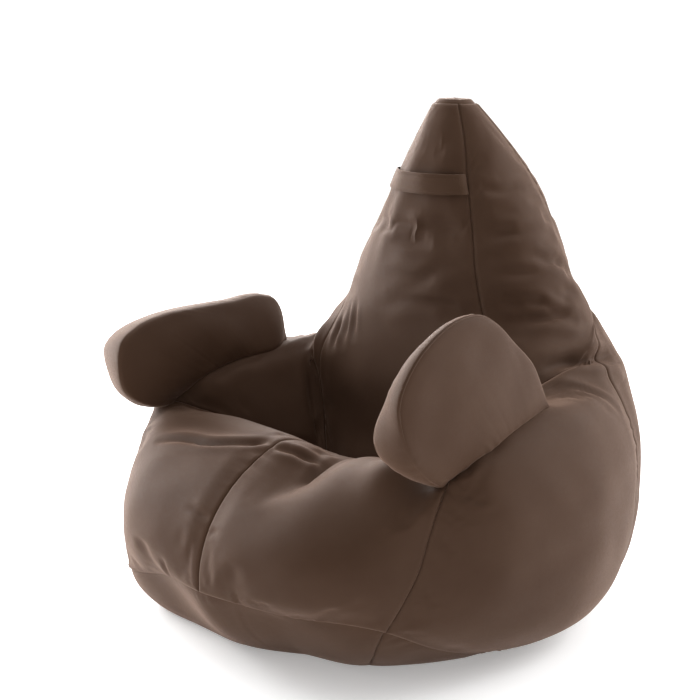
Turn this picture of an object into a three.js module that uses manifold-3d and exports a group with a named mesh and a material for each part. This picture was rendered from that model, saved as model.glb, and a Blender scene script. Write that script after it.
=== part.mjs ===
// A drop-shaped bean bag chair with two boxed arms, in millimetres, +Z up, seat facing -Y.
// The cover is sewn from gores that meet at six meridian seams; it holds a bead liner, and
// each arm is a bolster of two faces and a boxing strip around its own bead bag.
// The base opens with a zip that lies in a shallow valley, so it never touches the floor.
import * as THREE from "three";
import { mergeVertices } from "three/addons/utils/BufferGeometryUtils.js";
import Module from "manifold-3d";

const wasm = await Module();
wasm.setup();

// Driving dimensions.
const COVER_THICK = 2.0;
const LINER_OUT = 3.2;
const LINER_THICK = 1.0;
const FILL_OUT = 5.4;
const SEAM_GAP = 0.25; // each panel stops this far short of the seam line
const BASE_ROOM = 4.0; // extra height of the liner over the base panels, for the zip
const ZIP_VALLEY = 7.0; // how far the base seam is raised above the floor
const ZIP_LENGTH = 420;
const ZIP_WINDOW = 12; // width of the slot between the base halves
const COLUMN_STEP = 15; // degrees between the columns of the surface grid

// Meridian curves of the filled cover, from the base seam (first point) over the belly, the
// seat lip or arm foot, the seat crease and the lumbar, up to the foot of the backrest cone.
// angle 0 is the front centre seam, 60 and 120 the side seams, 180 the rear seam.
const RIBS = [
  { angle: 0, points: [[0, -482, 152], [0, -480, 195], [0, -464, 250], [0, -420, 316],
    [0, -350, 371], [0, -262, 403], [0, -180, 372], [0, -90, 300], [0, 15, 243],
    [0, 58, 330], [0, 66, 450]] },
  { angle: 30, points: [[170, -428, 138], [228, -450, 188], [245, -445, 250], [240, -405, 318],
    [222, -340, 372], [200, -245, 400], [172, -170, 370], [130, -85, 300], [105, 20, 243],
    [122, 62, 330], [140, 72, 460]] },
  { angle: 60, points: [[335, -330, 125], [368, -323, 186], [388, -305, 245], [398, -290, 310],
    [404, -274, 360], [400, -252, 395], [338, -178, 378], [272, -60, 302], [205, 50, 246],
    [245, 76, 360], [262, 84, 475]] },
  { angle: 75, points: [[352, -215, 62], [430, -205, 140], [466, -186, 212], [478, -176, 295],
    [468, -170, 370], [425, -178, 438], [354, -165, 440], [318, -80, 405], [275, 40, 380],
    [294, 80, 455], [296, 96, 505]] },
  { angle: 90, points: [[355, -100, 20], [455, -60, 95], [497, -30, 190], [504, -12, 285],
    [488, -8, 380], [424, -50, 478], [348, -60, 468], [332, 0, 474], [322, 55, 480],
    [320, 105, 494], [322, 160, 518]] },
  { angle: 120, points: [[345, 120, 8], [415, 190, 60], [437, 240, 150], [440, 268, 255],
    [428, 278, 370], [395, 262, 465], [372, 258, 500], [358, 262, 516], [346, 268, 532],
    [336, 276, 548], [322, 292, 568]] },
  { angle: 150, points: [[175, 275, 8], [225, 370, 58], [245, 432, 150], [253, 458, 255],
    [248, 466, 370], [235, 460, 455], [228, 456, 490], [222, 453, 510], [216, 450, 530],
    [210, 447, 548], [203, 442, 570]] },
  { angle: 180, points: [[0, 345, 8], [0, 430, 58], [0, 482, 150], [0, 508, 255],
    [0, 514, 370], [0, 508, 455], [0, 504, 490], [0, 501, 510], [0, 498, 530],
    [0, 495, 548], [0, 491, 570]] },
];
const CREASE_ROW = 8; // the rib point that lies in the crease between seat and backrest

// Backrest cone: ellipses at rising heights, each with the turns of its two front seams. The
// cone has slumped round a little, so the left seam runs further back than the right one.
const CONE = [
  { z: 615, centre: 274, halfWidth: 292, halfDepth: 203, right: 36, left: 57 },
  { z: 680, centre: 264, halfWidth: 255, halfDepth: 185, right: 36, left: 57 },
  { z: 770, centre: 258, halfWidth: 200, halfDepth: 160, right: 38, left: 55 },
  { z: 860, centre: 252, halfWidth: 145, halfDepth: 137, right: 41, left: 52 },
  { z: 945, centre: 234, halfWidth: 92, halfDepth: 88, right: 45, left: 51 },
  { z: 1012, centre: 215, halfWidth: 46, halfDepth: 44, right: 50, left: 52 },
];
const REAR_SEAM_TURN = 118; // where the 120 degree seams run on the cone
const CAP_CROWN = 8; // the folded top stands this far above its seam

// Base: the floor contact is this share of the way from the base centre to the base seam.
const CONTACT = [0.64, 0.68, 0.78, 0.88, 0.93, 0.94, 0.94, 0.94];
const BASE_FLAT_ROWS = [0, 0.15, 0.4, 0.82, 1]; // shares of the contact radius
const BASE_RISE_TURNS = [30, 60]; // degrees round the rising edge of the base
const ZIP_ROW = 3; // the last flat row that keeps the zip valley

// Arms: side outlines in the plane of the bolster, along the arm seam (u) and up from it (v).
const ARM_TIP = { x: 385, y: -257, z: 397 };
const ARM_SINK = -45; // the bolster's foot reaches into the side gore before it is trimmed
const ARMS = {
  right: {
    side: 1, pitch: 23.5, lean: 0, edge: 74, bulge: 30,
    outline: [[-25, 40], [-47, 112], [-44, 188], [-8, 236], [60, 256], [134, 254],
      [192, 228], [236, 172], [272, 100], [300, 20]],
  },
  left: {
    side: -1, pitch: 11, lean: 18, edge: 80, bulge: 38,
    outline: [[-62, 28], [-78, 84], [-52, 140], [12, 166], [96, 170], [200, 160],
      [300, 142], [362, 108], [378, 60], [374, 14]],
  },
};
const BODY_CLEARANCE = 0.4; // between the side gore and what is sewn on it

// Carry strap across the backrest panel.
const STRAP = { low: 838, high: 876, thick: 2.0, lowBow: 13, highBow: 20,
  leftTurn: -49, rightTurn: 38, lift: 1.2, steps: 12 };

const FABRIC = { color: 0x5a4539, roughness: 0.62, metalness: 0 };
const LINING = { color: 0xd8d4cc, roughness: 0.8, metalness: 0 };
const BEADS = { color: 0xf2f2ee, roughness: 0.9, metalness: 0 };
const WEBBING = { color: 0x54412f, roughness: 0.7, metalness: 0 };
const ZIP_TAPE = { color: 0x3a2e28, roughness: 0.8, metalness: 0 };
const ZIP_COIL = { color: 0x33302e, roughness: 0.45, metalness: 0 };
const ZINC = { color: 0x6e6a66, roughness: 0.35, metalness: 1 };

const part = new THREE.Group();
const chair = new THREE.Group();
part.add(chair);

function addMesh(name, geometry, look, parent = chair) {
  const mesh = new THREE.Mesh(geometry, new THREE.MeshStandardMaterial(look));
  mesh.name = name;
  parent.add(mesh);
  return mesh;
}

const vector = (p) => new THREE.Vector3(...p);
const radians = THREE.MathUtils.degToRad;

// ---- the surface of the filled cover, as a grid of points ----

function conePoint(ring, angle) {
  const folded = angle > 180 ? 360 - angle : angle;
  const seam = angle > 180 ? ring.left : ring.right;
  const turn = folded <= 60
    ? (folded / 60) * seam
    : folded <= 120
      ? seam + ((folded - 60) / 60) * (REAR_SEAM_TURN - seam)
      : REAR_SEAM_TURN + ((folded - 120) / 60) * (180 - REAR_SEAM_TURN);
  return new THREE.Vector3(
    (angle > 180 ? -1 : 1) * ring.halfWidth * Math.sin(radians(turn)),
    ring.centre - ring.halfDepth * Math.cos(radians(turn)),
    ring.z,
  );
}

// Slope of the curve at knot n; on the two mirror planes only its sideways part is left.
function slopeAt(knots, values, n) {
  const before = Math.max(n - 1, 0);
  const after = Math.min(n + 1, knots.length - 1);
  const slope = values[after].clone().sub(values[before]).divideScalar(knots[after] - knots[before]);
  const mirrored = n === 0 || n === knots.length - 1;
  return mirrored ? slope.set(slope.x, 0, 0) : slope;
}

// Smooth curve through the values at uneven knots (cubic Hermite).
function smooth(knots, values, at) {
  const next = knots.findIndex((knot) => knot > at);
  const i = next < 0 ? knots.length - 2 : next - 1;
  const span = knots[i + 1] - knots[i];
  const t = (at - knots[i]) / span;
  return values[i].clone().multiplyScalar(2 * t ** 3 - 3 * t ** 2 + 1)
    .addScaledVector(values[i + 1], 3 * t ** 2 - 2 * t ** 3)
    .addScaledVector(slopeAt(knots, values, i), (t ** 3 - 2 * t ** 2 + t) * span)
    .addScaledVector(slopeAt(knots, values, i + 1), (t ** 3 - t ** 2) * span);
}

const RIB_ANGLES = RIBS.map((rib) => rib.angle);
const COLUMNS = [];
for (let angle = 0; angle < 360; angle += COLUMN_STEP) COLUMNS.push(angle);

// A row of the grid all round, from its points on the ribs of one side.
function ringAround(ribPoints) {
  return COLUMNS.map((angle) => {
    const folded = angle > 180 ? 360 - angle : angle;
    const p = smooth(RIB_ANGLES, ribPoints, folded);
    if (angle > 180) p.x = -p.x;
    if (angle % 180 === 0) p.x = 0;
    return p;
  });
}

const bodyRows = [
  ...RIBS[0].points.map((_, row) => ringAround(RIBS.map((rib) => vector(rib.points[row])))),
  ...CONE.map((ring) => COLUMNS.map((angle) => conePoint(ring, angle))),
];

// The base centre lies on the straight seam between the front right and rear left corners.
const CORNER_A = vector(RIBS[2].points[0]);
const CORNER_B = vector(RIBS[5].points[0]).multiply(new THREE.Vector3(-1, 1, 1));
const share = CORNER_A.x / (CORNER_A.x - CORNER_B.x);
const BASE_CENTRE = new THREE.Vector3(0, THREE.MathUtils.lerp(CORNER_A.y, CORNER_B.y, share), 0);
const SEAM_COLUMNS = [60 / COLUMN_STEP, 240 / COLUMN_STEP];

function contactShare(column) {
  const angle = COLUMNS[column] > 180 ? 360 - COLUMNS[column] : COLUMNS[column];
  const next = Math.max(1, RIB_ANGLES.findIndex((rib) => rib >= angle));
  const [a, b] = [RIB_ANGLES[next - 1], RIB_ANGLES[next]];
  return THREE.MathUtils.lerp(CONTACT[next - 1], CONTACT[next], (angle - a) / (b - a));
}

// The rows of the base, from its centre out to just below the base seam.
function baseRows(edgeRow) {
  const flat = BASE_FLAT_ROWS.map((f, row) =>
    edgeRow.map((edge, column) => {
      const p = BASE_CENTRE.clone().lerp(edge, f * contactShare(column));
      const valley = row < 2 || (row <= ZIP_ROW && SEAM_COLUMNS.includes(column));
      p.z = valley ? ZIP_VALLEY : 0;
      return p;
    }),
  );
  const rising = BASE_RISE_TURNS.map((turn) =>
    edgeRow.map((edge, column) => {
      const c = contactShare(column);
      const p = BASE_CENTRE.clone().lerp(edge, c + (1 - c) * Math.sin(radians(turn)));
      p.z = edge.z * (1 - Math.cos(radians(turn)));
      return p;
    }),
  );
  return [...flat, ...rising];
}

const BASE = baseRows(bodyRows[0]);
const capEdge = bodyRows[bodyRows.length - 1];
const capCentre = new THREE.Vector3(0, CONE.at(-1).centre, CONE.at(-1).z + CAP_CROWN);
const SURFACE = [...BASE, ...bodyRows, capEdge.map(() => capCentre.clone())];
const EDGE_ROW = BASE.length; // the base seam
const CREASE = EDGE_ROW + CREASE_ROW;
const CAP_ROW = SURFACE.length - 2;

// Outward normal at each grid point: the mean over the cells around it.
function normals(grid) {
  const count = grid[0].length;
  const sums = grid.map((row) => row.map(() => new THREE.Vector3()));
  for (let i = 0; i + 1 < grid.length; i += 1)
    for (let j = 0; j < count; j += 1) {
      const k = (j + 1) % count;
      const rising = grid[i + 1][k].clone().sub(grid[i][j]);
      const facing = rising.cross(grid[i + 1][j].clone().sub(grid[i][k])).normalize();
      for (const sum of [sums[i][j], sums[i][k], sums[i + 1][j], sums[i + 1][k]]) sum.add(facing);
    }
  return sums.map((row, i) => {
    if (i === 0 || i === grid.length - 1) return row.map(() => new THREE.Vector3(0, 0, i ? 1 : -1));
    return row.map((sum) => sum.normalize());
  });
}

function offset(grid, facing, depth) {
  return grid.map((row, i) => row.map((p, j) => p.clone().addScaledVector(facing[i][j], -depth)));
}

const BODY_NORMALS = normals(SURFACE);

function bodyLayer(depth, baseRoom = 0) {
  const rows = offset(SURFACE, BODY_NORMALS, depth);
  const flatRows = BASE_FLAT_ROWS.length;
  rows.slice(0, flatRows).forEach((row) => row.forEach((p) => (p.z += baseRoom)));
  rows[flatRows].forEach((p) => (p.z += baseRoom / 2));
  return rows;
}

// ---- closed solids from grids ----

function geometryOf(triangles) {
  const positions = new Float32Array(triangles.flat().flatMap((p) => [p.x, p.y, p.z]));
  const raw = new THREE.BufferGeometry();
  raw.setAttribute("position", new THREE.BufferAttribute(positions, 3));
  return mergeVertices(raw, 1e-3);
}

const same = (a, b) => a.distanceToSquared(b) < 1e-6;

// Moves p a distance along the line to the target.
const stepTowards = (p, target, distance) =>
  p.addScaledVector(target.clone().sub(p).normalize(), distance);

function pushQuad(list, a, b, c, d) {
  for (const [p, q, r] of [[a, b, c], [a, c, d]]) {
    if (!same(p, q) && !same(q, r) && !same(p, r)) list.push([p, q, r]);
  }
}

// The whole closed skin of a grid whose first and last rows each meet in one point.
function closedSkin(grid) {
  const triangles = [];
  const count = grid[0].length;
  for (let i = 0; i + 1 < grid.length; i += 1)
    for (let j = 0; j < count; j += 1) {
      const k = (j + 1) % count;
      pushQuad(triangles, grid[i][j], grid[i][k], grid[i + 1][k], grid[i + 1][j]);
    }
  return geometryOf(triangles);
}

// A thick sheet over the cells (row, column) that belongs() picks, between two layers.
function sheet(outer, inner, belongs) {
  const triangles = [];
  const rows = outer.length - 1;
  const count = outer[0].length;
  const has = (i, j) => i >= 0 && i < rows && belongs(i, (j + count) % count);
  for (let i = 0; i < rows; i += 1)
    for (let j = 0; j < count; j += 1) {
      if (!has(i, j)) continue;
      const k = (j + 1) % count;
      pushQuad(triangles, outer[i][j], outer[i][k], outer[i + 1][k], outer[i + 1][j]);
      pushQuad(triangles, inner[i][j], inner[i + 1][j], inner[i + 1][k], inner[i][k]);
      if (!has(i - 1, j)) pushQuad(triangles, inner[i][j], inner[i][k], outer[i][k], outer[i][j]);
      if (!has(i + 1, j))
        pushQuad(triangles, outer[i + 1][j], outer[i + 1][k], inner[i + 1][k], inner[i + 1][j]);
      if (!has(i, j - 1)) pushQuad(triangles, outer[i][j], outer[i + 1][j], inner[i + 1][j], inner[i][j]);
      if (!has(i, j + 1)) pushQuad(triangles, outer[i][k], inner[i][k], inner[i + 1][k], outer[i + 1][k]);
    }
  return geometryOf(triangles);
}

// Rows low..high and columns first..last of a grid, wrapping round, as fresh points.
function cutOut(grid, low, high, first, last) {
  const count = grid[0].length;
  const piece = [];
  for (let i = low; i <= high; i += 1) {
    const row = [];
    for (let j = first; j <= last; j += 1) row.push(grid[i][(j + count) % count].clone());
    piece.push(row);
  }
  return piece;
}

// Pulls a piece's four edges back from the seams that it shares with its neighbours.
function pullBack(piece) {
  piece.forEach((row) => {
    stepTowards(row[0], row[1], SEAM_GAP);
    stepTowards(row.at(-1), row.at(-2), SEAM_GAP);
  });
  piece[0].forEach((p, j) => stepTowards(p, piece[1][j], SEAM_GAP));
  piece.at(-1).forEach((p, j) => stepTowards(p, piece.at(-2)[j], SEAM_GAP));
  return piece;
}

function panel(outer, inner, low, high, first, last) {
  const layers = [outer, inner].map((grid) => pullBack(cutOut(grid, low, high, first, last)));
  return sheet(...layers, (i, j) => j < last - first);
}

// ---- manifold helpers ----

function toSolid(geometry) {
  const bare = geometry.clone();
  bare.deleteAttribute("normal");
  bare.deleteAttribute("uv");
  const merged = mergeVertices(bare, 1e-3);
  const mesh = new wasm.Mesh({
    numProp: 3,
    vertProperties: merged.attributes.position.array,
    triVerts: new Uint32Array(merged.index.array),
  });
  return new wasm.Manifold(mesh);
}

function fromSolid(solid) {
  const mesh = solid.getMesh();
  const geometry = new THREE.BufferGeometry();
  geometry.setAttribute("position", new THREE.BufferAttribute(mesh.vertProperties, 3));
  geometry.setIndex(new THREE.BufferAttribute(mesh.triVerts, 1));
  return geometry;
}

// ---- cover ----

const OUTER = bodyLayer(0);
const INNER = bodyLayer(COVER_THICK);
const perSixth = 60 / COLUMN_STEP;

function addCover() {
  const gore = (name, low, high, first, last) =>
    addMesh(name, panel(OUTER, INNER, low, high, first, last), FABRIC);
  gore("front_right_gore", EDGE_ROW, CREASE, 0, perSixth);
  gore("front_left_gore", EDGE_ROW, CREASE, 5 * perSixth, 6 * perSixth);
  gore("backrest_panel", CREASE, CAP_ROW, -perSixth, perSixth);
  gore("side_right_gore", EDGE_ROW, CAP_ROW, perSixth, 2 * perSixth);
  gore("side_left_gore", EDGE_ROW, CAP_ROW, 4 * perSixth, 5 * perSixth);
  gore("rear_right_gore", EDGE_ROW, CAP_ROW, 2 * perSixth, 3 * perSixth);
  gore("rear_left_gore", EDGE_ROW, CAP_ROW, 3 * perSixth, 4 * perSixth);
  const cap = [OUTER, INNER].map((grid) => {
    const rows = grid.slice(CAP_ROW).map((row) => row.map((p) => p.clone()));
    rows[0].forEach((p, j) => stepTowards(p, rows[1][j], 2 * SEAM_GAP));
    return rows;
  });
  addMesh("top_cap", sheet(...cap, () => true), FABRIC);
}

// ---- base halves and zip ----

const zipDirection = CORNER_A.clone().sub(BASE_CENTRE).setZ(0).normalize();
const zipAcross = new THREE.Vector3(-zipDirection.y, zipDirection.x, 0);
const zipFrame = new THREE.Group();
zipFrame.position.copy(BASE_CENTRE);
zipFrame.rotation.z = Math.atan2(zipDirection.y, zipDirection.x);
chair.add(zipFrame);

function boxAt(x, y, z, sizeX, sizeY, sizeZ) {
  return new THREE.BoxGeometry(sizeX, sizeY, sizeZ).translate(x, y, z);
}

// One half of the base: the columns that belongs() picks, moved off the seam by the gap.
function addBaseHalf(name, sideways, belongs) {
  const shift = zipAcross.clone().multiplyScalar(sideways * SEAM_GAP);
  const layers = [OUTER, INNER].map((grid) => {
    const rows = grid.slice(0, EDGE_ROW + 1).map((row) => row.map((p) => p.clone().add(shift)));
    rows.at(-1).forEach((p, j) => stepTowards(p, rows.at(-2)[j], SEAM_GAP));
    return rows;
  });
  const half = sheet(...layers, (i, j) => belongs(j));
  const slot = boxAt(0, 0, ZIP_VALLEY, ZIP_LENGTH, ZIP_WINDOW, 4 * ZIP_VALLEY)
    .rotateZ(zipFrame.rotation.z)
    .translate(BASE_CENTRE.x, BASE_CENTRE.y, 0);
  addMesh(name, fromSolid(toSolid(half).subtract(toSolid(slot))), FABRIC);
}

const ZIP = {
  plane: ZIP_VALLEY + COVER_THICK + 0.6, // mid-plane of the tape, just above the panels
  tapeThick: 0.6, tapeEdge: 15, teethIn: 0.5, teethOut: 3.0, teethHigh: 2.4,
  pitch: 10, notch: 1.2,
  sliderLength: 12, sliderWidth: 9, plate: 1.0, plateClear: 0.4, web: 0.5,
  pinRadius: 0.7, pinDrop: 2.3, lug: 1.2, lugSpan: 4.4,
  tabLength: 24, tabWidth: 3.2, tabThick: 1.2, eye: 1.9, sliderRest: 195,
};

function addZip() {
  const run = ZIP_LENGTH;
  for (const [label, sign] of [["front", -1], ["rear", 1]]) {
    const tapeWidth = ZIP.tapeEdge - ZIP.teethOut - 0.3;
    const tapeCentre = sign * (ZIP.teethOut + 0.3 + tapeWidth / 2);
    addMesh(`zip_tape_${label}`, boxAt(0, tapeCentre, ZIP.plane, run, tapeWidth, ZIP.tapeThick),
      ZIP_TAPE, zipFrame);
    addMesh(`zip_teeth_${label}`, teethGeometry(sign, run - 12), ZIP_COIL, zipFrame);
  }
  for (const [label, sign] of [["closed_end", 1], ["open_end", -1]]) {
    const width = 2 * ZIP.teethOut;
    addMesh(`zip_stop_${label}`, boxAt(sign * (run / 2 - 3.5), 0, ZIP.plane, 4, width, ZIP.teethHigh),
      ZINC, zipFrame);
  }
  addMesh("zip_slider", sliderGeometry(), ZINC, zipFrame).position.set(ZIP.sliderRest, 0, ZIP.plane);
  addMesh("zip_pull_tab", tabGeometry(), ZINC, zipFrame)
    .position.set(ZIP.sliderRest, 0, ZIP.plane - pinDepth());
}

// One side's row of teeth: a comb whose notches face the other side.
function teethGeometry(sign, length) {
  const comb = new THREE.Shape();
  const start = -length / 2;
  comb.moveTo(start, ZIP.teethOut);
  comb.lineTo(start, ZIP.teethIn);
  for (let u = start + ZIP.pitch; u < length / 2 - 1; u += ZIP.pitch) {
    comb.lineTo(u - 1, ZIP.teethIn);
    comb.lineTo(u, ZIP.teethIn + ZIP.notch);
    comb.lineTo(u + 1, ZIP.teethIn);
  }
  comb.lineTo(length / 2, ZIP.teethIn);
  comb.lineTo(length / 2, ZIP.teethOut);
  const geometry = new THREE.ExtrudeGeometry(comb, { depth: ZIP.teethHigh, bevelEnabled: false });
  geometry.translate(0, 0, ZIP.plane - ZIP.teethHigh / 2);
  if (sign < 0) geometry.rotateZ(Math.PI);
  return geometry;
}

const plateCentre = () => ZIP.teethHigh / 2 + ZIP.plateClear + ZIP.plate / 2;
const pinDepth = () => plateCentre() + ZIP.plate / 2 + ZIP.pinDrop;

// Two plates over and under the teeth, a web between the rows, and a pin held by two lugs.
function sliderGeometry() {
  const { sliderLength: long, sliderWidth: wide, plate } = ZIP;
  const pieces = [
    boxAt(0, 0, plateCentre(), long, wide, plate),
    boxAt(0, 0, -plateCentre(), long, wide, plate),
    boxAt(0, 0, 0, long * 0.6, ZIP.web, 2 * plateCentre()),
  ];
  for (const sign of [-1, 1]) {
    const height = ZIP.pinDrop + plate / 2;
    const drop = plateCentre() + height / 2;
    pieces.push(boxAt(0, sign * ZIP.lugSpan / 2, -drop, 3, ZIP.lug, height));
  }
  const pin = new THREE.CylinderGeometry(ZIP.pinRadius, ZIP.pinRadius, ZIP.lugSpan, 16);
  pieces.push(pin.translate(0, 0, -pinDepth()));
  const solids = pieces.map(toSolid);
  return fromSolid(solids.slice(1).reduce((all, next) => all.add(next), solids[0]));
}

// A flat tab with a round eye that turns on the slider's pin, lying towards the zip's middle.
function tabGeometry() {
  const eye = new THREE.CylinderGeometry(ZIP.eye, ZIP.eye, ZIP.tabWidth - 0.9, 24);
  const bore = new THREE.CylinderGeometry(ZIP.pinRadius + 0.3, ZIP.pinRadius + 0.3, 20, 16);
  const blade = boxAt(-ZIP.tabLength / 2, 0, 0, ZIP.tabLength, ZIP.tabWidth - 0.9, ZIP.tabThick);
  const grip = boxAt(-ZIP.tabLength + 6, 0, 0, 12, 2 * ZIP.tabWidth, ZIP.tabThick);
  const solid = toSolid(eye).add(toSolid(blade)).add(toSolid(grip)).subtract(toSolid(bore));
  return fromSolid(solid);
}

// ---- liner and beads ----

const OPENING = { low: CAP_ROW - 4, high: CAP_ROW - 2, column: 180 / COLUMN_STEP };

function addLiner() {
  const outer = bodyLayer(LINER_OUT, BASE_ROOM);
  const inner = bodyLayer(LINER_OUT + LINER_THICK, BASE_ROOM);
  const inOpening = (i, j) => i >= OPENING.low && i < OPENING.high && j === OPENING.column;
  addMesh("liner_bag", sheet(outer, inner, (i, j) => !inOpening(i, j)), LINING);
  const { low, high, column } = OPENING;
  addMesh("liner_closure", panel(outer, inner, low, high, column, column + 1), LINING);
  addMesh("bead_fill", closedSkin(bodyLayer(FILL_OUT, BASE_ROOM)), BEADS);
}

// ---- arms ----

// Rows of an arm's skin from the middle of one face, over the strip, to the other face:
// the share of the outline's radius, and the share of the face's bulge.
const ARM_PROFILE = [[0, 1], [0.45, 0.82], [0.8, 0.42], [1, 0], [1, 0]];
const FACE_ROWS = 3;
const LAST_ROW = 2 * (ARM_PROFILE.length - 1);
const STRIP_SWELL = 4;
const CROWN_STEPS = 15;
const FOOT_STEPS = 2; // cells along the sunk foot, where there is no boxing strip

// The closed outline of an arm: its crown in even steps, then the sunk foot.
function armOutline(arm) {
  const crown = new THREE.CatmullRomCurve3(arm.outline.map(([u, v]) => new THREE.Vector3(u, v, 0)));
  const heel = new THREE.Vector3(arm.outline.at(-1)[0], ARM_SINK, 0);
  const toe = new THREE.Vector3(arm.outline[0][0] + 30, ARM_SINK, 0);
  return [...crown.getSpacedPoints(CROWN_STEPS), heel, heel.clone().lerp(toe, 0.5), toe];
}

function armLayer(arm, depth) {
  const outline = armOutline(arm);
  const sum = outline.reduce((total, p) => total.add(p), new THREE.Vector3());
  const middle = sum.divideScalar(outline.length);
  const rows = [];
  for (let i = 0; i <= LAST_ROW; i += 1) {
    const step = Math.min(i, LAST_ROW - i);
    const [reach, bulge] = ARM_PROFILE[step];
    const halfway = i === LAST_ROW / 2;
    const across = halfway ? 0 : arm.edge / 2 + arm.bulge * bulge - depth;
    const row = outline.map((p) => {
      const out = p.clone().sub(middle);
      const radius = reach * (out.length() - depth) + (halfway ? STRIP_SWELL : 0);
      const towards = Math.sign(LAST_ROW / 2 - i);
      return middle.clone().addScaledVector(out.normalize(), radius).setZ(towards * across);
    });
    rows.push(row);
  }
  return rows;
}

// Carries a point from the arm's own plane to the chair: u back along the seam, v up.
function armMatrix(arm) {
  const axes = new THREE.Matrix4().set(0, 0, arm.side, 0, 1, 0, 0, 0, 0, 1, 0, 0, 0, 0, 0, 1);
  return new THREE.Matrix4().makeTranslation(arm.side * ARM_TIP.x, ARM_TIP.y, ARM_TIP.z)
    .multiply(new THREE.Matrix4().makeRotationY(radians(arm.side * arm.lean)))
    .multiply(new THREE.Matrix4().makeRotationX(radians(arm.pitch)))
    .multiply(axes);
}

// The five pieces of one arm, each trimmed to the side gore that it is sewn on.
function addArm(label, arm, body) {
  const matrix = armMatrix(arm);
  const placedLayer = (depth) => {
    const rows = armLayer(arm, depth).map((row) => row.map((p) => p.applyMatrix4(matrix)));
    return arm.side < 0 ? rows.map((row) => row.reverse()) : rows;
  };
  const trimmed = (geometry) => fromSolid(toSolid(geometry).subtract(body));
  const cover = [placedLayer(0), placedLayer(COVER_THICK)];
  const addRows = (name, low, high, belongs) => {
    const layers = cover.map((grid) => {
      const rows = grid.slice(low, high + 1).map((row) => row.map((p) => p.clone()));
      if (low > 0) rows[0].forEach((p, j) => stepTowards(p, rows[1][j], SEAM_GAP));
      if (high < LAST_ROW) rows.at(-1).forEach((p, j) => stepTowards(p, rows.at(-2)[j], SEAM_GAP));
      return rows;
    });
    addMesh(`arm_${label}_${name}`, trimmed(sheet(...layers, belongs)), FABRIC);
  };
  const footStart = CROWN_STEPS + 1;
  const underFoot = (j) => (arm.side > 0 ? j >= footStart && j < footStart + FOOT_STEPS : j < FOOT_STEPS);
  addRows("outer_face", 0, FACE_ROWS, () => true);
  addRows("boxing_strip", FACE_ROWS, LAST_ROW - FACE_ROWS, (i, j) => !underFoot(j));
  addRows("inner_face", LAST_ROW - FACE_ROWS, LAST_ROW, () => true);
  const bag = [LINER_OUT, LINER_OUT + LINER_THICK].map(placedLayer);
  addMesh(`arm_${label}_bead_bag`, trimmed(sheet(...bag, () => true)), LINING);
  addMesh(`arm_${label}_bead_fill`, trimmed(closedSkin(placedLayer(FILL_OUT))), BEADS);
}

// ---- carry strap ----

// The cone's ellipse at any height between its given ones.
function coneAt(z) {
  const above = CONE.findIndex((ring) => ring.z > z);
  const [a, b] = [CONE[above - 1], CONE[above]];
  const mix = (key) => THREE.MathUtils.mapLinear(z, a.z, b.z, a[key], b[key]);
  return { centre: mix("centre"), halfWidth: mix("halfWidth"), halfDepth: mix("halfDepth") };
}

// One long edge of the strap: sewn down at both ends and bowed off the panel between them.
function strapEdge(z, bow, out) {
  const { centre, halfWidth, halfDepth } = coneAt(z);
  const edge = [];
  for (let i = 0; i <= STRAP.steps; i += 1) {
    const along = (2 * i) / STRAP.steps - 1;
    const turn = radians(THREE.MathUtils.mapLinear(along, -1, 1, STRAP.leftTurn, STRAP.rightTurn));
    const away = out + STRAP.lift + bow * (1 - along ** 4);
    const x = (halfWidth + STRAP.lift + out) * Math.sin(turn);
    edge.push(new THREE.Vector3(x, centre - (halfDepth + away) * Math.cos(turn), z));
  }
  return edge;
}

function addStrap() {
  const layer = (out) => [
    strapEdge(STRAP.low, STRAP.lowBow, out),
    strapEdge(STRAP.high, STRAP.highBow, out),
  ];
  const strap = sheet(layer(STRAP.thick), layer(0), (i, j) => j < STRAP.steps);
  addMesh("carry_strap", strap, WEBBING);
}

addCover();
const [seamStart, seamEnd] = SEAM_COLUMNS;
addBaseHalf("base_panel_rear", 1, (j) => j >= seamStart && j < seamEnd);
addBaseHalf("base_panel_front", -1, (j) => j < seamStart || j >= seamEnd);
addZip();
addLiner();
const bodySolid = toSolid(closedSkin(bodyLayer(-BODY_CLEARANCE)));
addArm("right", ARMS.right, bodySolid);
addArm("left", ARMS.left, bodySolid);
addStrap();

// The origin is on the floor, under the middle of the whole chair.
const extent = new THREE.Box3().setFromObject(chair);
const middle = extent.getCenter(new THREE.Vector3());
chair.position.set(-middle.x, -middle.y, 0);

export default part;
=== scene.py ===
import math

import bpy
import bmesh
import numpy as np
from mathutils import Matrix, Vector
from mathutils.kdtree import KDTree


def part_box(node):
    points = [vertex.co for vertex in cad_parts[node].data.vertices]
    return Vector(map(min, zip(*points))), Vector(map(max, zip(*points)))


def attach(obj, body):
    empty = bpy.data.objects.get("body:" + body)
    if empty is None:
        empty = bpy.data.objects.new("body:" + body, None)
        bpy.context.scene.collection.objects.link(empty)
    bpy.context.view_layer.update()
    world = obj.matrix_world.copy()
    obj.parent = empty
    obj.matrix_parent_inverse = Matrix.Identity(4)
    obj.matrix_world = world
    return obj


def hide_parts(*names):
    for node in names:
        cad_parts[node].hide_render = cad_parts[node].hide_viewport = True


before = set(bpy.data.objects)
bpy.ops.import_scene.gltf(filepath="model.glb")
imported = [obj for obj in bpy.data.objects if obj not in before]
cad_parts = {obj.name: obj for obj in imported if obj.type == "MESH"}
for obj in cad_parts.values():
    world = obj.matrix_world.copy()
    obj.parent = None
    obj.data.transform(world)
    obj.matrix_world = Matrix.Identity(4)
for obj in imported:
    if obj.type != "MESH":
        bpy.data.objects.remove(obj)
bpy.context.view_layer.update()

MM = 0.001

# ---- driving dimensions ----

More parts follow.
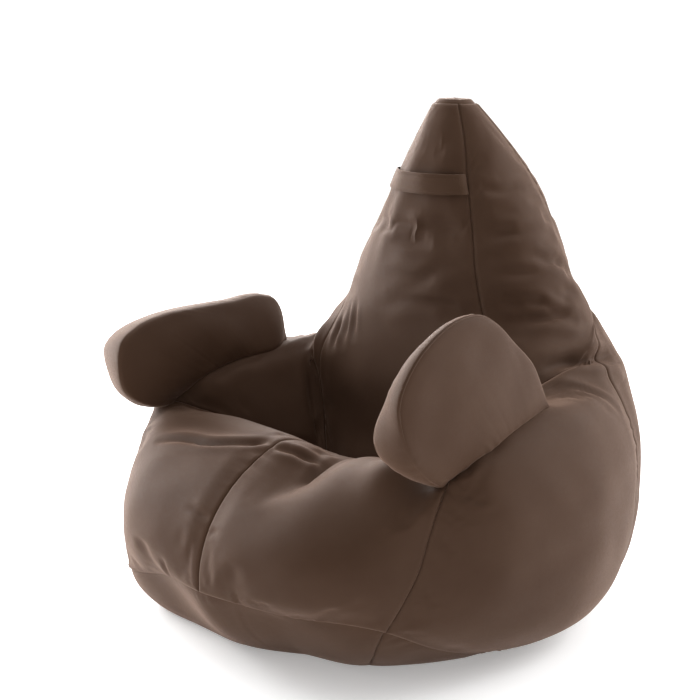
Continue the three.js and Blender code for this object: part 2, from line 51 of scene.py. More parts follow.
# Meridian curves from the base seam over belly, lip or arm foot and seat crease to the cone.
RIB_ANGLES = np.array([0, 30, 60, 75, 90, 120, 150, 180], float)
RIBS = np.array([
    [(0, -482, 152), (0, -480, 195), (0, -464, 250), (0, -420, 316), (0, -350, 371),
     (0, -262, 403), (0, -180, 372), (0, -90, 300), (0, 15, 243), (0, 58, 330), (0, 66, 450)],
    [(170, -428, 138), (228, -450, 188), (245, -445, 250), (240, -405, 318), (222, -340, 372),
     (200, -245, 400), (172, -170, 370), (130, -85, 300), (105, 20, 243), (122, 62, 330),
     (140, 72, 460)],
    [(335, -330, 125), (368, -323, 186), (388, -305, 245), (398, -290, 310), (404, -274, 360),
     (400, -252, 395), (338, -178, 378), (272, -60, 302), (205, 50, 246), (245, 76, 360),
     (262, 84, 475)],
    [(352, -215, 62), (430, -205, 140), (466, -186, 212), (478, -176, 295), (468, -170, 370),
     (425, -178, 438), (354, -165, 440), (318, -80, 405), (275, 40, 380), (294, 80, 455),
     (296, 96, 505)],
    [(355, -100, 20), (455, -60, 95), (497, -30, 190), (504, -12, 285), (488, -8, 380),
     (424, -50, 478), (348, -60, 468), (332, 0, 474), (322, 55, 480), (320, 105, 494),
     (322, 160, 518)],
    [(345, 120, 8), (415, 190, 60), (437, 240, 150), (440, 268, 255), (428, 278, 370),
     (395, 262, 465), (372, 258, 500), (358, 262, 516), (346, 268, 532), (336, 276, 548),
     (322, 292, 568)],
    [(175, 275, 8), (225, 370, 58), (245, 432, 150), (253, 458, 255), (248, 466, 370),
     (235, 460, 455), (228, 456, 490), (222, 453, 510), (216, 450, 530), (210, 447, 548),
     (203, 442, 570)],
    [(0, 345, 8), (0, 430, 58), (0, 482, 150), (0, 508, 255), (0, 514, 370), (0, 508, 455),
     (0, 504, 490), (0, 501, 510), (0, 498, 530), (0, 495, 548), (0, 491, 570)],
], float)
CREASE_ROW = 8  # the rib point in the crease between seat and backrest

# Backrest cone: (height, centre y, half width, half depth, turns of the right and left front
# seams). It has slumped round a little, so the left seam runs further back.
CONE = [(615, 274, 292, 203, 36, 57), (680, 264, 255, 185, 36, 57), (770, 258, 200, 160, 38, 55),
        (860, 252, 145, 137, 41, 52), (945, 234, 92, 88, 45, 51), (1012, 215, 46, 44, 50, 52)]
REAR_SEAM_TURN = 118
CAP_CROWN = 8

# How far out the floor contact reaches, as a share of the way to the base seam, at each rib.
BASE_CONTACT = {1: [0.60, 0.56, 0.60, 0.74, 0.88, 0.94, 0.94, 0.94],
                -1: [0.60, 0.74, 0.84, 0.88, 0.92, 0.94, 0.94, 0.94]}
BASE_ROUND = (0.7, 0.8)  # how full the base's rising edge is, at the floor and at the seam
ZIP_VALLEY = 7.0
ZIP_HALF_LENGTH = 210.0
ZIP_HALF_WINDOW = 6.0

CELLS_PER_GORE = 72  # across each sixth of the girth
ROW_PITCH = 6.5      # height of a cell of the fine grid
CLOTH = 1.6          # thickness of the cover cloth
SEAM_GAP = 0.15      # each panel's edge stays this far off the seam
SEAM = (3.6, 2.8)    # depth and width of a seam's groove
FACE_SEAM = (3.0, 4.0)
STRIP_SEAM = (2.6, 3.5)

# Gathers along the seams: their height and length, the length of their groups and how open those
# are, how far they reach, and how far off the seam they start.
BODY_PUCKER = {"height": 2.2, "length": 26, "group": 310, "open": (-0.2, 0.9), "reach": 17, "clear": 6}
BASE_PUCKER = {"height": 1.3, "length": 24, "group": 240, "open": (-0.1, 0.9), "reach": 16, "clear": 6}
FACE_PUCKER = {"height": 1.3, "length": 21, "group": 150, "open": (-0.3, 0.8), "reach": 13, "clear": 5}

# The settling of the cover.
SETTLE_STEP = 3      # every third row and column takes part
SETTLE_FRAMES = 20
SETTLE_CAP = 5.0     # the furthest that the simulation may move the cloth
SETTLE_FADE = 52     # how far from a seam the cloth is free to move
TOP_CALM = {"share": 0.75, "from": 760, "to": 960}  # the narrow top moves less
SETTLE_CLOTH = {"quality": 6, "mass": 0.15, "tension_stiffness": 12, "compression_stiffness": 12,
                "shear_stiffness": 6, "bending_stiffness": 0.4, "tension_damping": 20,
                "compression_damping": 20, "use_pressure": True, "uniform_pressure_force": 4,
                "shrink_min": -0.02}

# The liner and the beads.
LINER_INSET = 16.0   # how far the liner stays inside the cover's deepest nearby fold
LINER_REACH = 8      # cells round a place in which a fold counts as nearby
LINER_CLEAR = 8.0    # the least that the liner may lie under the cover
LINER_THICK = 0.8
CLOSURE_LIFT = 1.4   # the closure strip lies this far outside the liner
BEADS_INSIDE = 4.0
ARM_BAG_INSETS = (5.0, 5.8)
ARM_BEADS_INSET = 7.5

cap_low, cap_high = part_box("top_cap")
SHIFT = np.array([0.0, (cap_low[1] + cap_high[1]) / 2 / MM - CONE[-1][1], 0.0])


# ---- small numeric helpers ----

def unit(v):
    return v / np.maximum(np.linalg.norm(v, axis=-1, keepdims=True), 1e-9)


def smoothstep(x, low=0.0, high=1.0):
    t = np.clip((x - low) / (high - low), 0, 1)
    return t * t * (3 - 2 * t)


def lengths(points, axis=0):
    """Length along each line of points, up to each of its points."""
    steps = np.linalg.norm(np.diff(points, axis=axis), axis=-1)
    start = np.zeros_like(np.take(steps, [0], axis=axis))
    return np.concatenate([start, np.cumsum(steps, axis=axis)], axis=axis)


def cubic_weights(t):
    """Weights of a cubic's start, end, start slope and end slope."""
    return 2 * t**3 - 3 * t**2 + 1, 3 * t**2 - 2 * t**3, t**3 - 2 * t**2 + t, t**3 - t**2


def hermite(knots, values, slopes, at):
    i = np.clip(np.searchsorted(knots, at, side="right") - 1, 0, len(knots) - 2)
    span = (knots[i + 1] - knots[i])[:, None]
    a, b, c, d = cubic_weights((at - knots[i])[:, None] / span)
    return a * values[i] + b * values[i + 1] + c * span * slopes[i] + d * span * slopes[i + 1]


def smooth_slopes(rise, step):
    """Slope at each knot, from the quadratic through it and its neighbours."""
    inner = (rise[:-1] * step[1:] + rise[1:] * step[:-1]) / (step[1:] + step[:-1])
    return np.concatenate([rise[:1], inner, rise[-1:]])


def knot_slopes(knots, values):
    step = np.diff(knots)[:, None]
    return smooth_slopes(np.diff(values, axis=0) / step, step)


def curve(points, count):
    """Smooth curve through the points, evenly spaced along its length."""
    points = np.array(points, float)
    knots = lengths(points)
    slopes = knot_slopes(knots, points)
    dense = hermite(knots, points, slopes, np.linspace(0, knots[-1], 40 * len(points)))
    along = lengths(dense)
    at = np.linspace(0, along[-1], count)
    return np.stack([np.interp(at, along, dense[:, a]) for a in range(3)], -1)


def waves(points, wavelength, seed, count=24):
    """Smooth noise of about -1 to 1: a sum of plane waves in seeded directions."""
    rng = np.random.default_rng(seed)
    directions = unit(rng.normal(size=(count, 3)))
    lengths = wavelength * rng.uniform(0.7, 1.5, count)
    phases = rng.uniform(0, 2 * math.pi, count)
    total = np.zeros(points.shape[:-1])
    for direction, length, phase in zip(directions, lengths, phases):
        total += np.sin(points @ direction * (2 * math.pi / length) + phase)
    return total / math.sqrt(count / 2) / 1.6


def ripple(along, wavelength, seed, count=9):
    """Smooth one-dimensional noise of about -1 to 1."""
    rng = np.random.default_rng(seed)
    total = np.zeros_like(along)
    for _ in range(count):
        length = wavelength * rng.uniform(0.6, 1.9)
        total += np.sin(along * (2 * math.pi / length) + rng.uniform(0, 2 * math.pi))
    return total / math.sqrt(count / 2) / 1.5


def puckers(style, gap, group_along, along, seeds):
    """Groups of small gathers along a seam, which die out away from it."""
    groups = smoothstep(ripple(group_along, style["group"], seeds[0]), *style["open"])
    return (style["height"] * groups * ripple(along, style["length"], seeds[1])
            * np.exp(-gap / style["reach"]) * smoothstep(gap, 0, style["clear"]))


def groove(gap, depth, width):
    """Depth of the narrow valley in which a seam lies."""
    return depth * np.exp(-(gap / width) ** 1.3)


def polyline_distance(points, line):
    """Distance of each point to a polyline, and where on it (0 to 1) the nearest point is."""
    shape = points.shape[:-1]
    flat = points.reshape(-1, 3)
    best = np.full(len(flat), 1e9)
    place = np.zeros(len(flat))
    steps = np.linalg.norm(np.diff(line, axis=0), axis=1)
    starts = lengths(line)
    for a, b, start, step in zip(line[:-1], line[1:], starts, steps):
        t = np.clip((flat - a) @ (b - a) / max(step * step, 1e-9), 0, 1)
        gap = np.linalg.norm(flat - a - t[:, None] * (b - a), axis=1)
        closer = gap < best
        best[closer] = gap[closer]
        place[closer] = (start + t[closer] * step) / starts[-1]
    return best.reshape(shape), place.reshape(shape)


def grid_normals(grid, wrap=False):
    """Outward normals of a grid whose columns run counter-clockwise and whose rows rise."""
    if wrap:
        across = np.roll(grid, -1, 1) - np.roll(grid, 1, 1)
    else:
        across = np.gradient(grid, axis=1)
    return unit(np.cross(across, np.gradient(grid, axis=0)))


# ---- the surface of the filled cover ----

def cone_ring(ring, angles, left):
    z, centre, half_width, half_depth, right_seam, left_seam = ring
    turns = [np.interp(angles, [0, 60, 120, 180], [0, seam, REAR_SEAM_TURN, 180])
             for seam in (right_seam, left_seam)]
    turn = np.radians(np.where(left, turns[1], turns[0]))
    return np.stack([half_width * np.sin(turn), centre - half_depth * np.cos(turn),
                     np.full_like(turn, z)], -1)


def rib_ring(row, angles):
    values = RIBS[:, row]
    slopes = knot_slopes(RIB_ANGLES, values)
    slopes[0, 1:] = slopes[-1, 1:] = 0
    return hermite(RIB_ANGLES, values, slopes, angles)


def gore_angles():
    """Column angles all round, closer together near the seams."""
    t = np.arange(CELLS_PER_GORE) / CELLS_PER_GORE
    eased = t - 0.62 * np.sin(2 * math.pi * t) / (2 * math.pi)
    return np.concatenate([60 * (sixth + eased) for sixth in range(6)])


ANGLES = gore_angles()
FOLDED = np.where(ANGLES > 180, 360 - ANGLES, ANGLES)
MIRROR = np.where(ANGLES > 180, -1.0, 1.0)
COLUMNS = len(ANGLES)


def master_rings():
    rings = [rib_ring(row, FOLDED) for row in range(RIBS.shape[1])]
    rings += [cone_ring(ring, FOLDED, MIRROR < 0) for ring in CONE]
    rings = np.array(rings)
    rings[..., 0] *= MIRROR
    return rings


def row_places(rings):
    """Fine row positions, as numbers of the master rings, and which fine row each ring is."""
    step = np.linalg.norm(np.diff(rings, axis=0), axis=-1)
    pitch = np.percentile(step, 80, axis=1)
    places, marks = [0.0], [0]
    last = len(rings) - 1
    for segment in range(last):
        count = max(3, int(round(pitch[segment] / ROW_PITCH)))
        t = np.arange(1, count + 1) / count
        if segment in (0, CREASE_ROW):
            t = t**1.4
        if segment in (CREASE_ROW - 1, last - 1):
            t = 1 - (1 - t) ** 1.4
        places += list(segment + t)
        marks.append(len(places) - 1)
    return np.array(places), marks


def loft(rings, places):
    """Smooth rows between the master rings, with a break in slope at the seat crease."""
    step = np.maximum(np.linalg.norm(np.diff(rings, axis=0), axis=-1), 1.0)[..., None]
    rise = np.diff(rings, axis=0) / step
    slopes = smooth_slopes(rise, step)
    below, above = rise[CREASE_ROW - 1], rise[CREASE_ROW]
    front = smoothstep(-FOLDED, -90, -65)[:, None]
    rows = []
    for place in places:
        i = min(int(place), len(rings) - 2)
        start, end = slopes[i], slopes[i + 1]
        if i == CREASE_ROW:
            start = start * (1 - front) + above * front
        if i + 1 == CREASE_ROW:
            end = end * (1 - front) + below * front
        a, b, c, d = cubic_weights(place - i)
        rows.append(a * rings[i] + b * rings[i + 1] + c * step[i] * start + d * step[i] * end)
    return np.array(rows)


# Where the filling has slumped: (centre, reach along x, y and z, how far the cloth goes with it).
SLUMPS = [
    ((105, -292, 392), (66, 110, 90), (0, 0, -50)),        # the lip dips right of the centre seam
    ((-315, -375, 105), (140, 140, 84), (-25, -25, -18)),  # the left front corner leans out
    ((-310, -380, 120), (130, 130, 60), (-4, -4, -44)),    # and has sunk, seam and all
    ((-335, 175, 530), (90, 120, 80), (0, 0, -36)),        # hollow between left arm and cone
    ((225, 395, 630), (130, 130, 110), (-19, -19, 0)),     # the cone's right rear is slack
]


def slumped(grid):
    moved = grid.copy()
    for centre, reach, shift in SLUMPS:
        gap = (grid - np.array(centre)) / np.array(reach)
        moved += np.exp(-(gap**2).sum(axis=-1))[..., None] * np.array(shift, float)
    return moved


RINGS = master_rings()
PLACES, MARKS = row_places(RINGS)
SMOOTH = slumped(loft(RINGS, PLACES)) + SHIFT
CREASE = MARKS[CREASE_ROW]
TOP = MARKS[-1]
SEAM_COLUMNS = [sixth * CELLS_PER_GORE for sixth in range(6)]


def seam_fields(grid):
    """Distance to the nearest seam, and the length along that seam, for each grid point."""
    rows, columns, _ = grid.shape
    around = np.linalg.norm(np.roll(grid, -1, 1) - grid, axis=-1)
    height = lengths(grid)
    distance = np.full((rows, columns), 1e3)
    along = np.zeros((rows, columns))
    for seam in SEAM_COLUMNS:
        for direction in (1, -1):
            run = np.zeros(rows)
            for step in range(CELLS_PER_GORE + 1):
                column = (seam + direction * step) % columns
                fade = np.zeros(rows)
                if seam == 0:
                    fade[CREASE + 1:] = 1e3
                gap = run + fade
                closer = gap < distance[:, column]
                distance[closer, column] = gap[closer]
                along[closer, column] = height[closer, column] + 977 * (seam + 1)
                run = run + around[:, column if direction > 0 else (column - 1) % columns]
    girth = np.cumsum(around, axis=1)
    front = (FOLDED <= 60)[None, :]
    for mark, limit in ((0, None), (TOP, None), (CREASE, front)):
        gap = np.abs(height - height[mark])
        if limit is not None:
            gap = np.where(limit, gap, 1e3)
        closer = gap < distance
        distance[closer] = gap[closer]
        along[closer] = (girth + 5e4 + 1e4 * mark)[closer]
    return distance, along


# ---- folds and dents of the slumped cover ----

# Broad lumps: (centre, reach along x, y and z, height); a negative height is a dent.
LUMPS = [
    ((292, -278, 405), (48, 60, 60), 38),   # the lip stands up against the right arm
    ((-200, -300, 392), (120, 26, 40), -9),
]

# Folds: (points near the surface, depth, width, height of the rolls beside it).
FOLDS = [
    # lip
    ([(-262, -352, 358), (-200, -345, 372), (-130, -335, 380), (-60, -315, 391), (-15, -290, 399)],
     13, 9, 5),
    ([(8, -300, 396), (50, -275, 388), (95, -250, 370)], 9, 9, 5),
    ([(98, -195, 366), (106, -262, 374), (112, -318, 352)], 15, 12, 5),
    # seat corners
    ([(-308, 84, 480), (-262, 63, 365), (-227, 51, 285)], 12, 13, 3),
    ([(308, 84, 480), (262, 63, 365), (227, 51, 285)], 7, 13, 2),
    # right shoulder, behind the arm
    ([(306, 120, 520), (325, 170, 528), (345, 225, 533), (345, 290, 530), (335, 325, 530)], 14, 13, 7),
    ([(352, 98, 500), (375, 140, 490), (400, 180, 475), (425, 215, 450)], 6, 8, 4),
    ([(360, 96, 496), (395, 135, 480), (428, 165, 450)], 5, 6, 3),
    ([(366, 90, 490), (402, 110, 470), (440, 135, 440)], 4, 6, 2),
    # left shoulder
    ([(-312, 150, 522), (-335, 205, 530), (-342, 270, 532), (-325, 335, 545)], 12, 14, 6),
    ([(-358, 130, 498), (-398, 180, 475), (-430, 200, 440)], 5, 8, 3),
    # sides of the cone
    ([(188, 128, 640), (225, 150, 636), (262, 200, 640)], 7, 12, 4),
    ([(230, 160, 600), (270, 205, 610), (300, 260, 600)], 9, 13, 5),
    ([(205, 205, 715), (230, 240, 708), (240, 290, 705)], 7, 11, 4),
    ([(175, 150, 690), (205, 190, 684), (228, 225, 694)], 5, 9, 3),
    ([(160, 140, 760), (188, 180, 772), (203, 240, 770)], 5, 10, 3),
    ([(118, 150, 850), (142, 195, 842), (150, 240, 848)], 4, 9, 2),
    ([(-252, 190, 650), (-275, 260, 640), (-262, 330, 655)], 6, 13, 4),
    ([(-190, 190, 790), (-205, 260, 780), (-180, 330, 800)], 5, 11, 3),
    # backrest panel
    ([(-12, 98, 762), (8, 97, 770), (28, 100, 775)], 2.5, 9, 2),
    ([(-14, 163, 987), (-30, 112, 880), (-72, 97, 738), (-95, 88, 660)], -3, 18, -1.5),
    ([(-30, 74, 638), (30, 76, 660), (90, 95, 700)], 2.5, 14, 2),
    ([(-60, 75, 600), (0, 72, 620), (62, 79, 629)], 2.5, 14, 2),
    ([(-226, 115, 548), (-222, 98, 515), (-218, 86, 483)], 6, 8, 4),
    ([(-158, 100, 592), (-155, 90, 555), (-152, 82, 522)], 5, 9, 3),
    ([(-190, 102, 578), (-187, 92, 540), (-185, 83, 500)], 4, 8, 3),
    ([(200, 105, 580), (196, 92, 540), (190, 83, 495)], 5, 9, 3),
    # belly
    ([(-6, -449, 282), (-35, -447, 288), (-62, -440, 292)], 3.5, 7, 2.5),
    ([(8, -455, 262), (22, -456, 264), (38, -456, 268)], 2, 6, 1.5),
    ([(91, -446, 150), (94, -455, 165), (97, -462, 182)], 3, 5, 2),
    ([(130, -445, 150), (134, -455, 166), (138, -460, 184)], 2.5, 5, 2),
    ([(-300, -372, 160), (-312, -374, 180), (-322, -372, 205)], 4, 6, 2.5),
    ([(-335, -340, 145), (-350, -340, 165), (-362, -336, 190)], 3.5, 6, 2.5),
    ([(-100, -450, 150), (-104, -458, 168), (-106, -464, 190)], 2.5, 6, 2),
]


def snapped(points):
    """The points of the smooth surface nearest to the given ones."""
    flat = SMOOTH.reshape(-1, 3)
    points = np.array(points, float) + SHIFT
    return np.array([flat[((flat - p) ** 2).sum(axis=1).argmin()] for p in points])


def lump_offset(grid):
    total = np.zeros(grid.shape[:2])
    for centre, reach, height in LUMPS:
        gap = (grid - np.array(centre) - SHIFT) / np.array(reach)
        total += height * np.exp(-(gap**2).sum(axis=-1))
    return total


def fold_offset(grid):
    total = np.zeros(grid.shape[:2])
    for points, depth, width, shoulder in FOLDS:
        line = curve(snapped(points), 24)
        gap, place = polyline_distance(grid, line)
        taper = np.sin(math.pi * np.clip(place, 0.02, 0.98)) ** 0.6
        taper = taper * np.exp(-(gap / (4 * width)) ** 2)
        valley = -depth * np.exp(-(gap / width) ** 2)
        rolls = shoulder * np.exp(-((gap - 2.2 * width) / (1.1 * width)) ** 2)
        total += (valley + rolls) * taper
    return total


def settle(grid):
    """Pressure cloth simulation of the cover on a coarser grid; seams and crease are held."""
    step = SETTLE_STEP
    rows = sorted({*range(0, len(grid), step), CREASE, TOP})
    coarse = grid[rows][:, ::step]
    count_rows, count_columns, _ = coarse.shape
    mesh = bpy.data.meshes.new("settling")
    faces = quads(count_rows, count_columns, True)
    mesh.from_pydata((coarse.reshape(-1, 3) * MM).tolist(), [], faces.tolist())
    obj = bpy.data.objects.new("settling", mesh)
    bpy.context.scene.collection.objects.link(obj)
    held = obj.vertex_groups.new(name="held")
    weight = np.zeros((count_rows, count_columns))
    weight[[0, -1]] = 1
    per_gore = CELLS_PER_GORE // step
    for sixth in range(6):
        top = rows.index(CREASE) + 1 if sixth == 0 else count_rows
        weight[:top, sixth * per_gore] = 1
    held.add(np.flatnonzero(weight.ravel() > 0).tolist(), 1.0, "REPLACE")
    cloth = obj.modifiers.new("Cloth", "CLOTH")
    settings = cloth.settings
    for key, value in SETTLE_CLOTH.items():
        setattr(settings, key, value)
    settings.vertex_group_mass = "held"
    settings.effector_weights.gravity = 0
    cloth.collision_settings.use_collision = False
    scene = bpy.context.scene
    cloth.point_cache.frame_start, cloth.point_cache.frame_end = 1, SETTLE_FRAMES
    for number in range(1, SETTLE_FRAMES + 1):
        scene.frame_set(number)
    depsgraph = bpy.context.evaluated_depsgraph_get()
    settled = obj.evaluated_get(depsgraph).to_mesh()
    after = np.empty(len(settled.vertices) * 3)
    settled.vertices.foreach_get("co", after)
    moved = after.reshape(coarse.shape) / MM - coarse
    bpy.data.objects.remove(obj)
    bpy.data.meshes.remove(mesh)
    scene.frame_set(1)
    size = np.linalg.norm(moved, axis=-1, keepdims=True)
    moved *= SETTLE_CAP * np.tanh(size / SETTLE_CAP) / np.maximum(size, 1e-6)
    distance, _ = seam_fields(grid)
    near_top = smoothstep(grid[..., 2], TOP_CALM["from"], TOP_CALM["to"])
    calm = smoothstep(distance, 0, SETTLE_FADE) * (1 - TOP_CALM["share"] * near_top)
    return upsample(moved, rows, step, grid.shape[0]) * calm[..., None]


def upsample(field, rows, step, fine_rows):
    """Smooth spread of a coarse field over the fine grid (columns wrap round)."""
    columns = np.arange(COLUMNS) / step
    low = columns.astype(int)
    t = (columns - low)[None, :, None]
    count = field.shape[1]
    p = [field[:, (low + k) % count] for k in (-1, 0, 1, 2)]
    wide = catmull(p, t)
    at = np.interp(np.arange(fine_rows), rows, np.arange(len(rows)))
    low = np.clip(at.astype(int), 0, len(rows) - 1)
    t = (at - low)[:, None, None]
    p = [wide[np.clip(low + k, 0, len(rows) - 1)] for k in (-1, 0, 1, 2)]
    return catmull(p, t)


def catmull(p, t):
    a, b, c, d = p
    return 0.5 * (2 * b + (c - a) * t + (2 * a - 5 * b + 4 * c - d) * t**2
                  + (3 * b - a - 3 * c + d) * t**3)


def quads(rows, columns, wrap=False):
    i, j = np.meshgrid(np.arange(rows - 1), np.arange(columns if wrap else columns - 1), indexing="ij")
    k = (j + 1) % columns
    return np.stack([i * columns + j, i * columns + k, (i + 1) * columns + k, (i + 1) * columns + j],
                    -1).reshape(-1, 4)


def finished_cover():
    """The cover, the skin that the liner is set in from, and each place's distance to a seam."""
    grid = SMOOTH + settle(SMOOTH)
    plump = grid + SMOOTH_OUT * lump_offset(grid)[..., None]
    distance, along = seam_fields(grid)
    out = grid_normals(grid, wrap=True)
    lift = (3.0 * waves(grid, 260, 3) + 0.6 * waves(grid, 95, 4)) * smoothstep(distance, 0, 60)
    lift -= 1.6 * np.exp(-distance / 26)
    lift -= groove(distance, *SEAM)
    lift += puckers(BODY_PUCKER, distance, along, along, (5, 7))
    lift += lump_offset(grid) + fold_offset(grid)
    deepest = np.maximum(lump_offset(grid) - lift, 0)
    for blend in (np.max, np.mean):
        for axis in (0, 1):
            shifts = [np.roll(deepest, step, axis) for step in range(-LINER_REACH, LINER_REACH + 1)]
            deepest = blend(shifts, axis=0)
    return grid + out * lift[..., None], plump - SMOOTH_OUT * deepest[..., None], distance


SMOOTH_OUT = grid_normals(SMOOTH, wrap=True)
COVER, LINER_SKIN, SEAM_DISTANCE = finished_cover()


# ---- meshes ----

def cloth_mesh(name, outer, inner, material, wrap=False, edge=None):
    """A closed sheet of cloth between two grids, with a length-true UV map in metres."""
    rows, columns, _ = outer.shape
    count = rows * columns
    top = quads(rows, columns, wrap)
    faces = [top, top[:, ::-1] + count]
    index = np.arange(count).reshape(rows, columns)

    def rim(line, flip):
        a, b = line[:-1], line[1:]
        strip = np.stack([a, b, b + count, a + count], -1)
        faces.append(strip[:, ::-1] if flip else strip)

    closed = (lambda line: np.append(line, line[0])) if wrap else (lambda line: line)
    rim(closed(index[0]), True)
    rim(closed(index[-1]), False)
    if not wrap:
        rim(index[:, 0], False)
        rim(index[:, -1], True)
    faces = np.concatenate(faces)
    u = lengths(outer, 1)
    u -= u.mean(axis=1, keepdims=True)
    uv = np.tile(np.stack([u, lengths(outer)], -1).reshape(-1, 2) * MM, (2, 1))
    return make_mesh(name, np.concatenate([outer.reshape(-1, 3), inner.reshape(-1, 3)]), faces,
                     material, uv, None if edge is None else np.tile(edge.ravel(), 2))


def make_mesh(name, points, faces, material, uv=None, edge=None):
    mesh = bpy.data.meshes.new(name)
    faces = faces.tolist() if isinstance(faces, np.ndarray) else faces
    mesh.from_pydata((np.asarray(points) * MM).tolist(), [], faces)
    if edge is not None:
        mesh.attributes.new("seam", "FLOAT", "POINT").data.foreach_set("value", edge.astype(np.float32))
    if uv is not None:
        loops = np.empty(len(mesh.loops), int)
        mesh.loops.foreach_get("vertex_index", loops)
        mesh.uv_layers.new(name="cloth").data.foreach_set("uv", uv[loops].ravel())
    tidy = bmesh.new()
    tidy.from_mesh(mesh)
    bmesh.ops.remove_doubles(tidy, verts=tidy.verts, dist=2e-6)
    bmesh.ops.dissolve_degenerate(tidy, edges=tidy.edges, dist=1e-6)
    tidy.to_mesh(mesh)
    tidy.free()
    mesh.polygons.foreach_set("use_smooth", [True] * len(mesh.polygons))
    mesh.set_sharp_from_angle(angle=math.radians(60))
    mesh.materials.append(material)
    obj = bpy.data.objects.new(name, mesh)
    bpy.context.scene.collection.objects.link(obj)
    return obj


def pull_back(grid, gap=SEAM_GAP, sides=True):
    """Moves the edges of a piece a little off the seams that it shares."""
    grid = grid.copy()
    grid[0] += gap * unit(grid[1] - grid[0])
    grid[-1] += gap * unit(grid[-2] - grid[-1])
    if sides:
        grid[:, 0] += gap * unit(grid[:, 1] - grid[:, 0])
        grid[:, -1] += gap * unit(grid[:, -2] - grid[:, -1])
    return grid


# ---- materials ----

BROWN = (0.052, 0.0245, 0.0128)
BROWN_WORN = (0.068, 0.0355, 0.0208)
LINING = (0.62, 0.60, 0.56)
BEAD_WHITE = (0.86, 0.86, 0.84)
WEBBING = (0.062, 0.032, 0.017)
TAPE = (0.045, 0.034, 0.028)
COIL = ((0.020, 0.018, 0.017), (0.055, 0.050, 0.046))
ZINC = ((0.16, 0.15, 0.14), (0.36, 0.34, 0.32))


class Nodes:
    """A short way to write a material's nodes."""

    def __init__(self, name, roughness, metallic=0.0):
        self.material = bpy.data.materials.new(name)
        self.material.use_nodes = True
        self.tree = self.material.node_tree
        self.shader = self.tree.nodes["Principled BSDF"]
        self.shader.inputs["Roughness"].default_value = roughness
        self.shader.inputs["Metallic"].default_value = metallic

    def add(self, kind, inputs=None, **settings):
        node = self.tree.nodes.new(kind)
        for key, value in settings.items():
            setattr(node, key, value)
        for key, value in (inputs or {}).items():
            if isinstance(value, bpy.types.NodeSocket):
                self.tree.links.new(value, node.inputs[key])
            else:
                node.inputs[key].default_value = value
        return node

    def math(self, operation, a, b=0.0):
        return self.add("ShaderNodeMath", {0: a, 1: b}, operation=operation).outputs[0]

    def mix(self, factor, a, b):
        node = self.add("ShaderNodeMix", data_type="RGBA")
        sockets = [s for s in node.inputs if s.enabled]
        for socket, value in zip(sockets, (factor, a, b)):
            if isinstance(value, bpy.types.NodeSocket):
                self.tree.links.new(value, socket)
            else:
                socket.default_value = value
        return [s for s in node.outputs if s.enabled][0]

    def put(self, name, socket):
        self.tree.links.new(socket, self.shader.inputs[name])

    def bump(self, height, strength, distance, normal=None):
        inputs = {"Height": height, "Strength": strength, "Distance": distance}
        if normal is not None:
            inputs["Normal"] = normal
        return self.add("ShaderNodeBump", inputs).outputs[0]

    def ramp(self, value, low, high, start, end):
        inputs = {"Value": value, "From Min": low, "From Max": high, "To Min": start, "To Max": end}
        return self.add("ShaderNodeMapRange", inputs).outputs[0]


def rgba(colour):
    return (*colour, 1.0)


def fabric(name, colour, worn, thread=0.0009, roughness=0.66, sheen=0.28, by_uv=True):
    """Coated plain-weave cloth: over-under threads, slubs, slow colour drift, rubbed seams."""
    n = Nodes(name, roughness)
    coordinates = n.add("ShaderNodeTexCoord")
    place = coordinates.outputs["UV"] if by_uv else coordinates.outputs["Object"]
    drift = n.add("ShaderNodeTexNoise", {"Vector": coordinates.outputs["Object"], "Scale": 7.0,
                                         "Detail": 4.0, "Roughness": 0.55}).outputs["Fac"]
    mottle = n.add("ShaderNodeTexNoise", {"Vector": coordinates.outputs["Object"], "Scale": 160.0,
                                          "Detail": 2.0}).outputs["Fac"]
    split = n.add("ShaderNodeSeparateXYZ", {"Vector": place})
    threads = []
    for axis in (0, 1):
        phase = n.math("MULTIPLY", split.outputs[axis], 2 * math.pi / thread)
        threads.append(n.math("SINE", phase))
    weave = n.math("MULTIPLY", threads[0], threads[1])
    shade = n.ramp(drift, 0.3, 0.7, 0.0, 0.75)
    shade = n.math("ADD", shade, n.math("MULTIPLY", mottle, 0.25))
    if by_uv:
        seam = n.add("ShaderNodeAttribute", attribute_name="seam").outputs["Fac"]
        rubbed = n.ramp(seam, 4.0, 11.0, 0.3, 0.0)
        shade = n.math("ADD", shade, rubbed)
    n.put("Base Color", n.mix(n.math("MINIMUM", shade, 1.0), rgba(colour), rgba(worn)))
    n.put("Roughness", n.ramp(mottle, 0.2, 0.8, roughness - 0.06, roughness + 0.08))
    fine = n.bump(weave, 0.25, 0.00012)
    n.put("Normal", n.bump(mottle, 0.12, 0.0006, fine))
    n.shader.inputs["Sheen Weight"].default_value = sheen
    n.shader.inputs["Sheen Roughness"].default_value = 0.38
    n.shader.inputs["Sheen Tint"].default_value = (0.95, 0.66, 0.52, 1.0)
    n.shader.inputs["Specular IOR Level"].default_value = 0.14
    return n.material


def beads(name):
    """Expanded polystyrene beads, 3 to 5 mm, packed against the liner, greyed towards each bead's rim by
    painted shade between the beads.
    """
    n = Nodes(name, 0.7)
    place = n.add("ShaderNodeTexCoord").outputs["Object"]
    cells = n.add("ShaderNodeTexVoronoi", {"Vector": place, "Scale": 240.0})
    tone = n.ramp(cells.outputs["Distance"], 0.0, 0.7, 1.0, 0.0)
    # painted shade: grey where the beads meet, white in each bead's middle
    n.put("Base Color", n.mix(tone, (0.62, 0.62, 0.60, 1), rgba(BEAD_WHITE)))
    n.put("Normal", n.bump(tone, 0.9, 0.002))
    return n.material


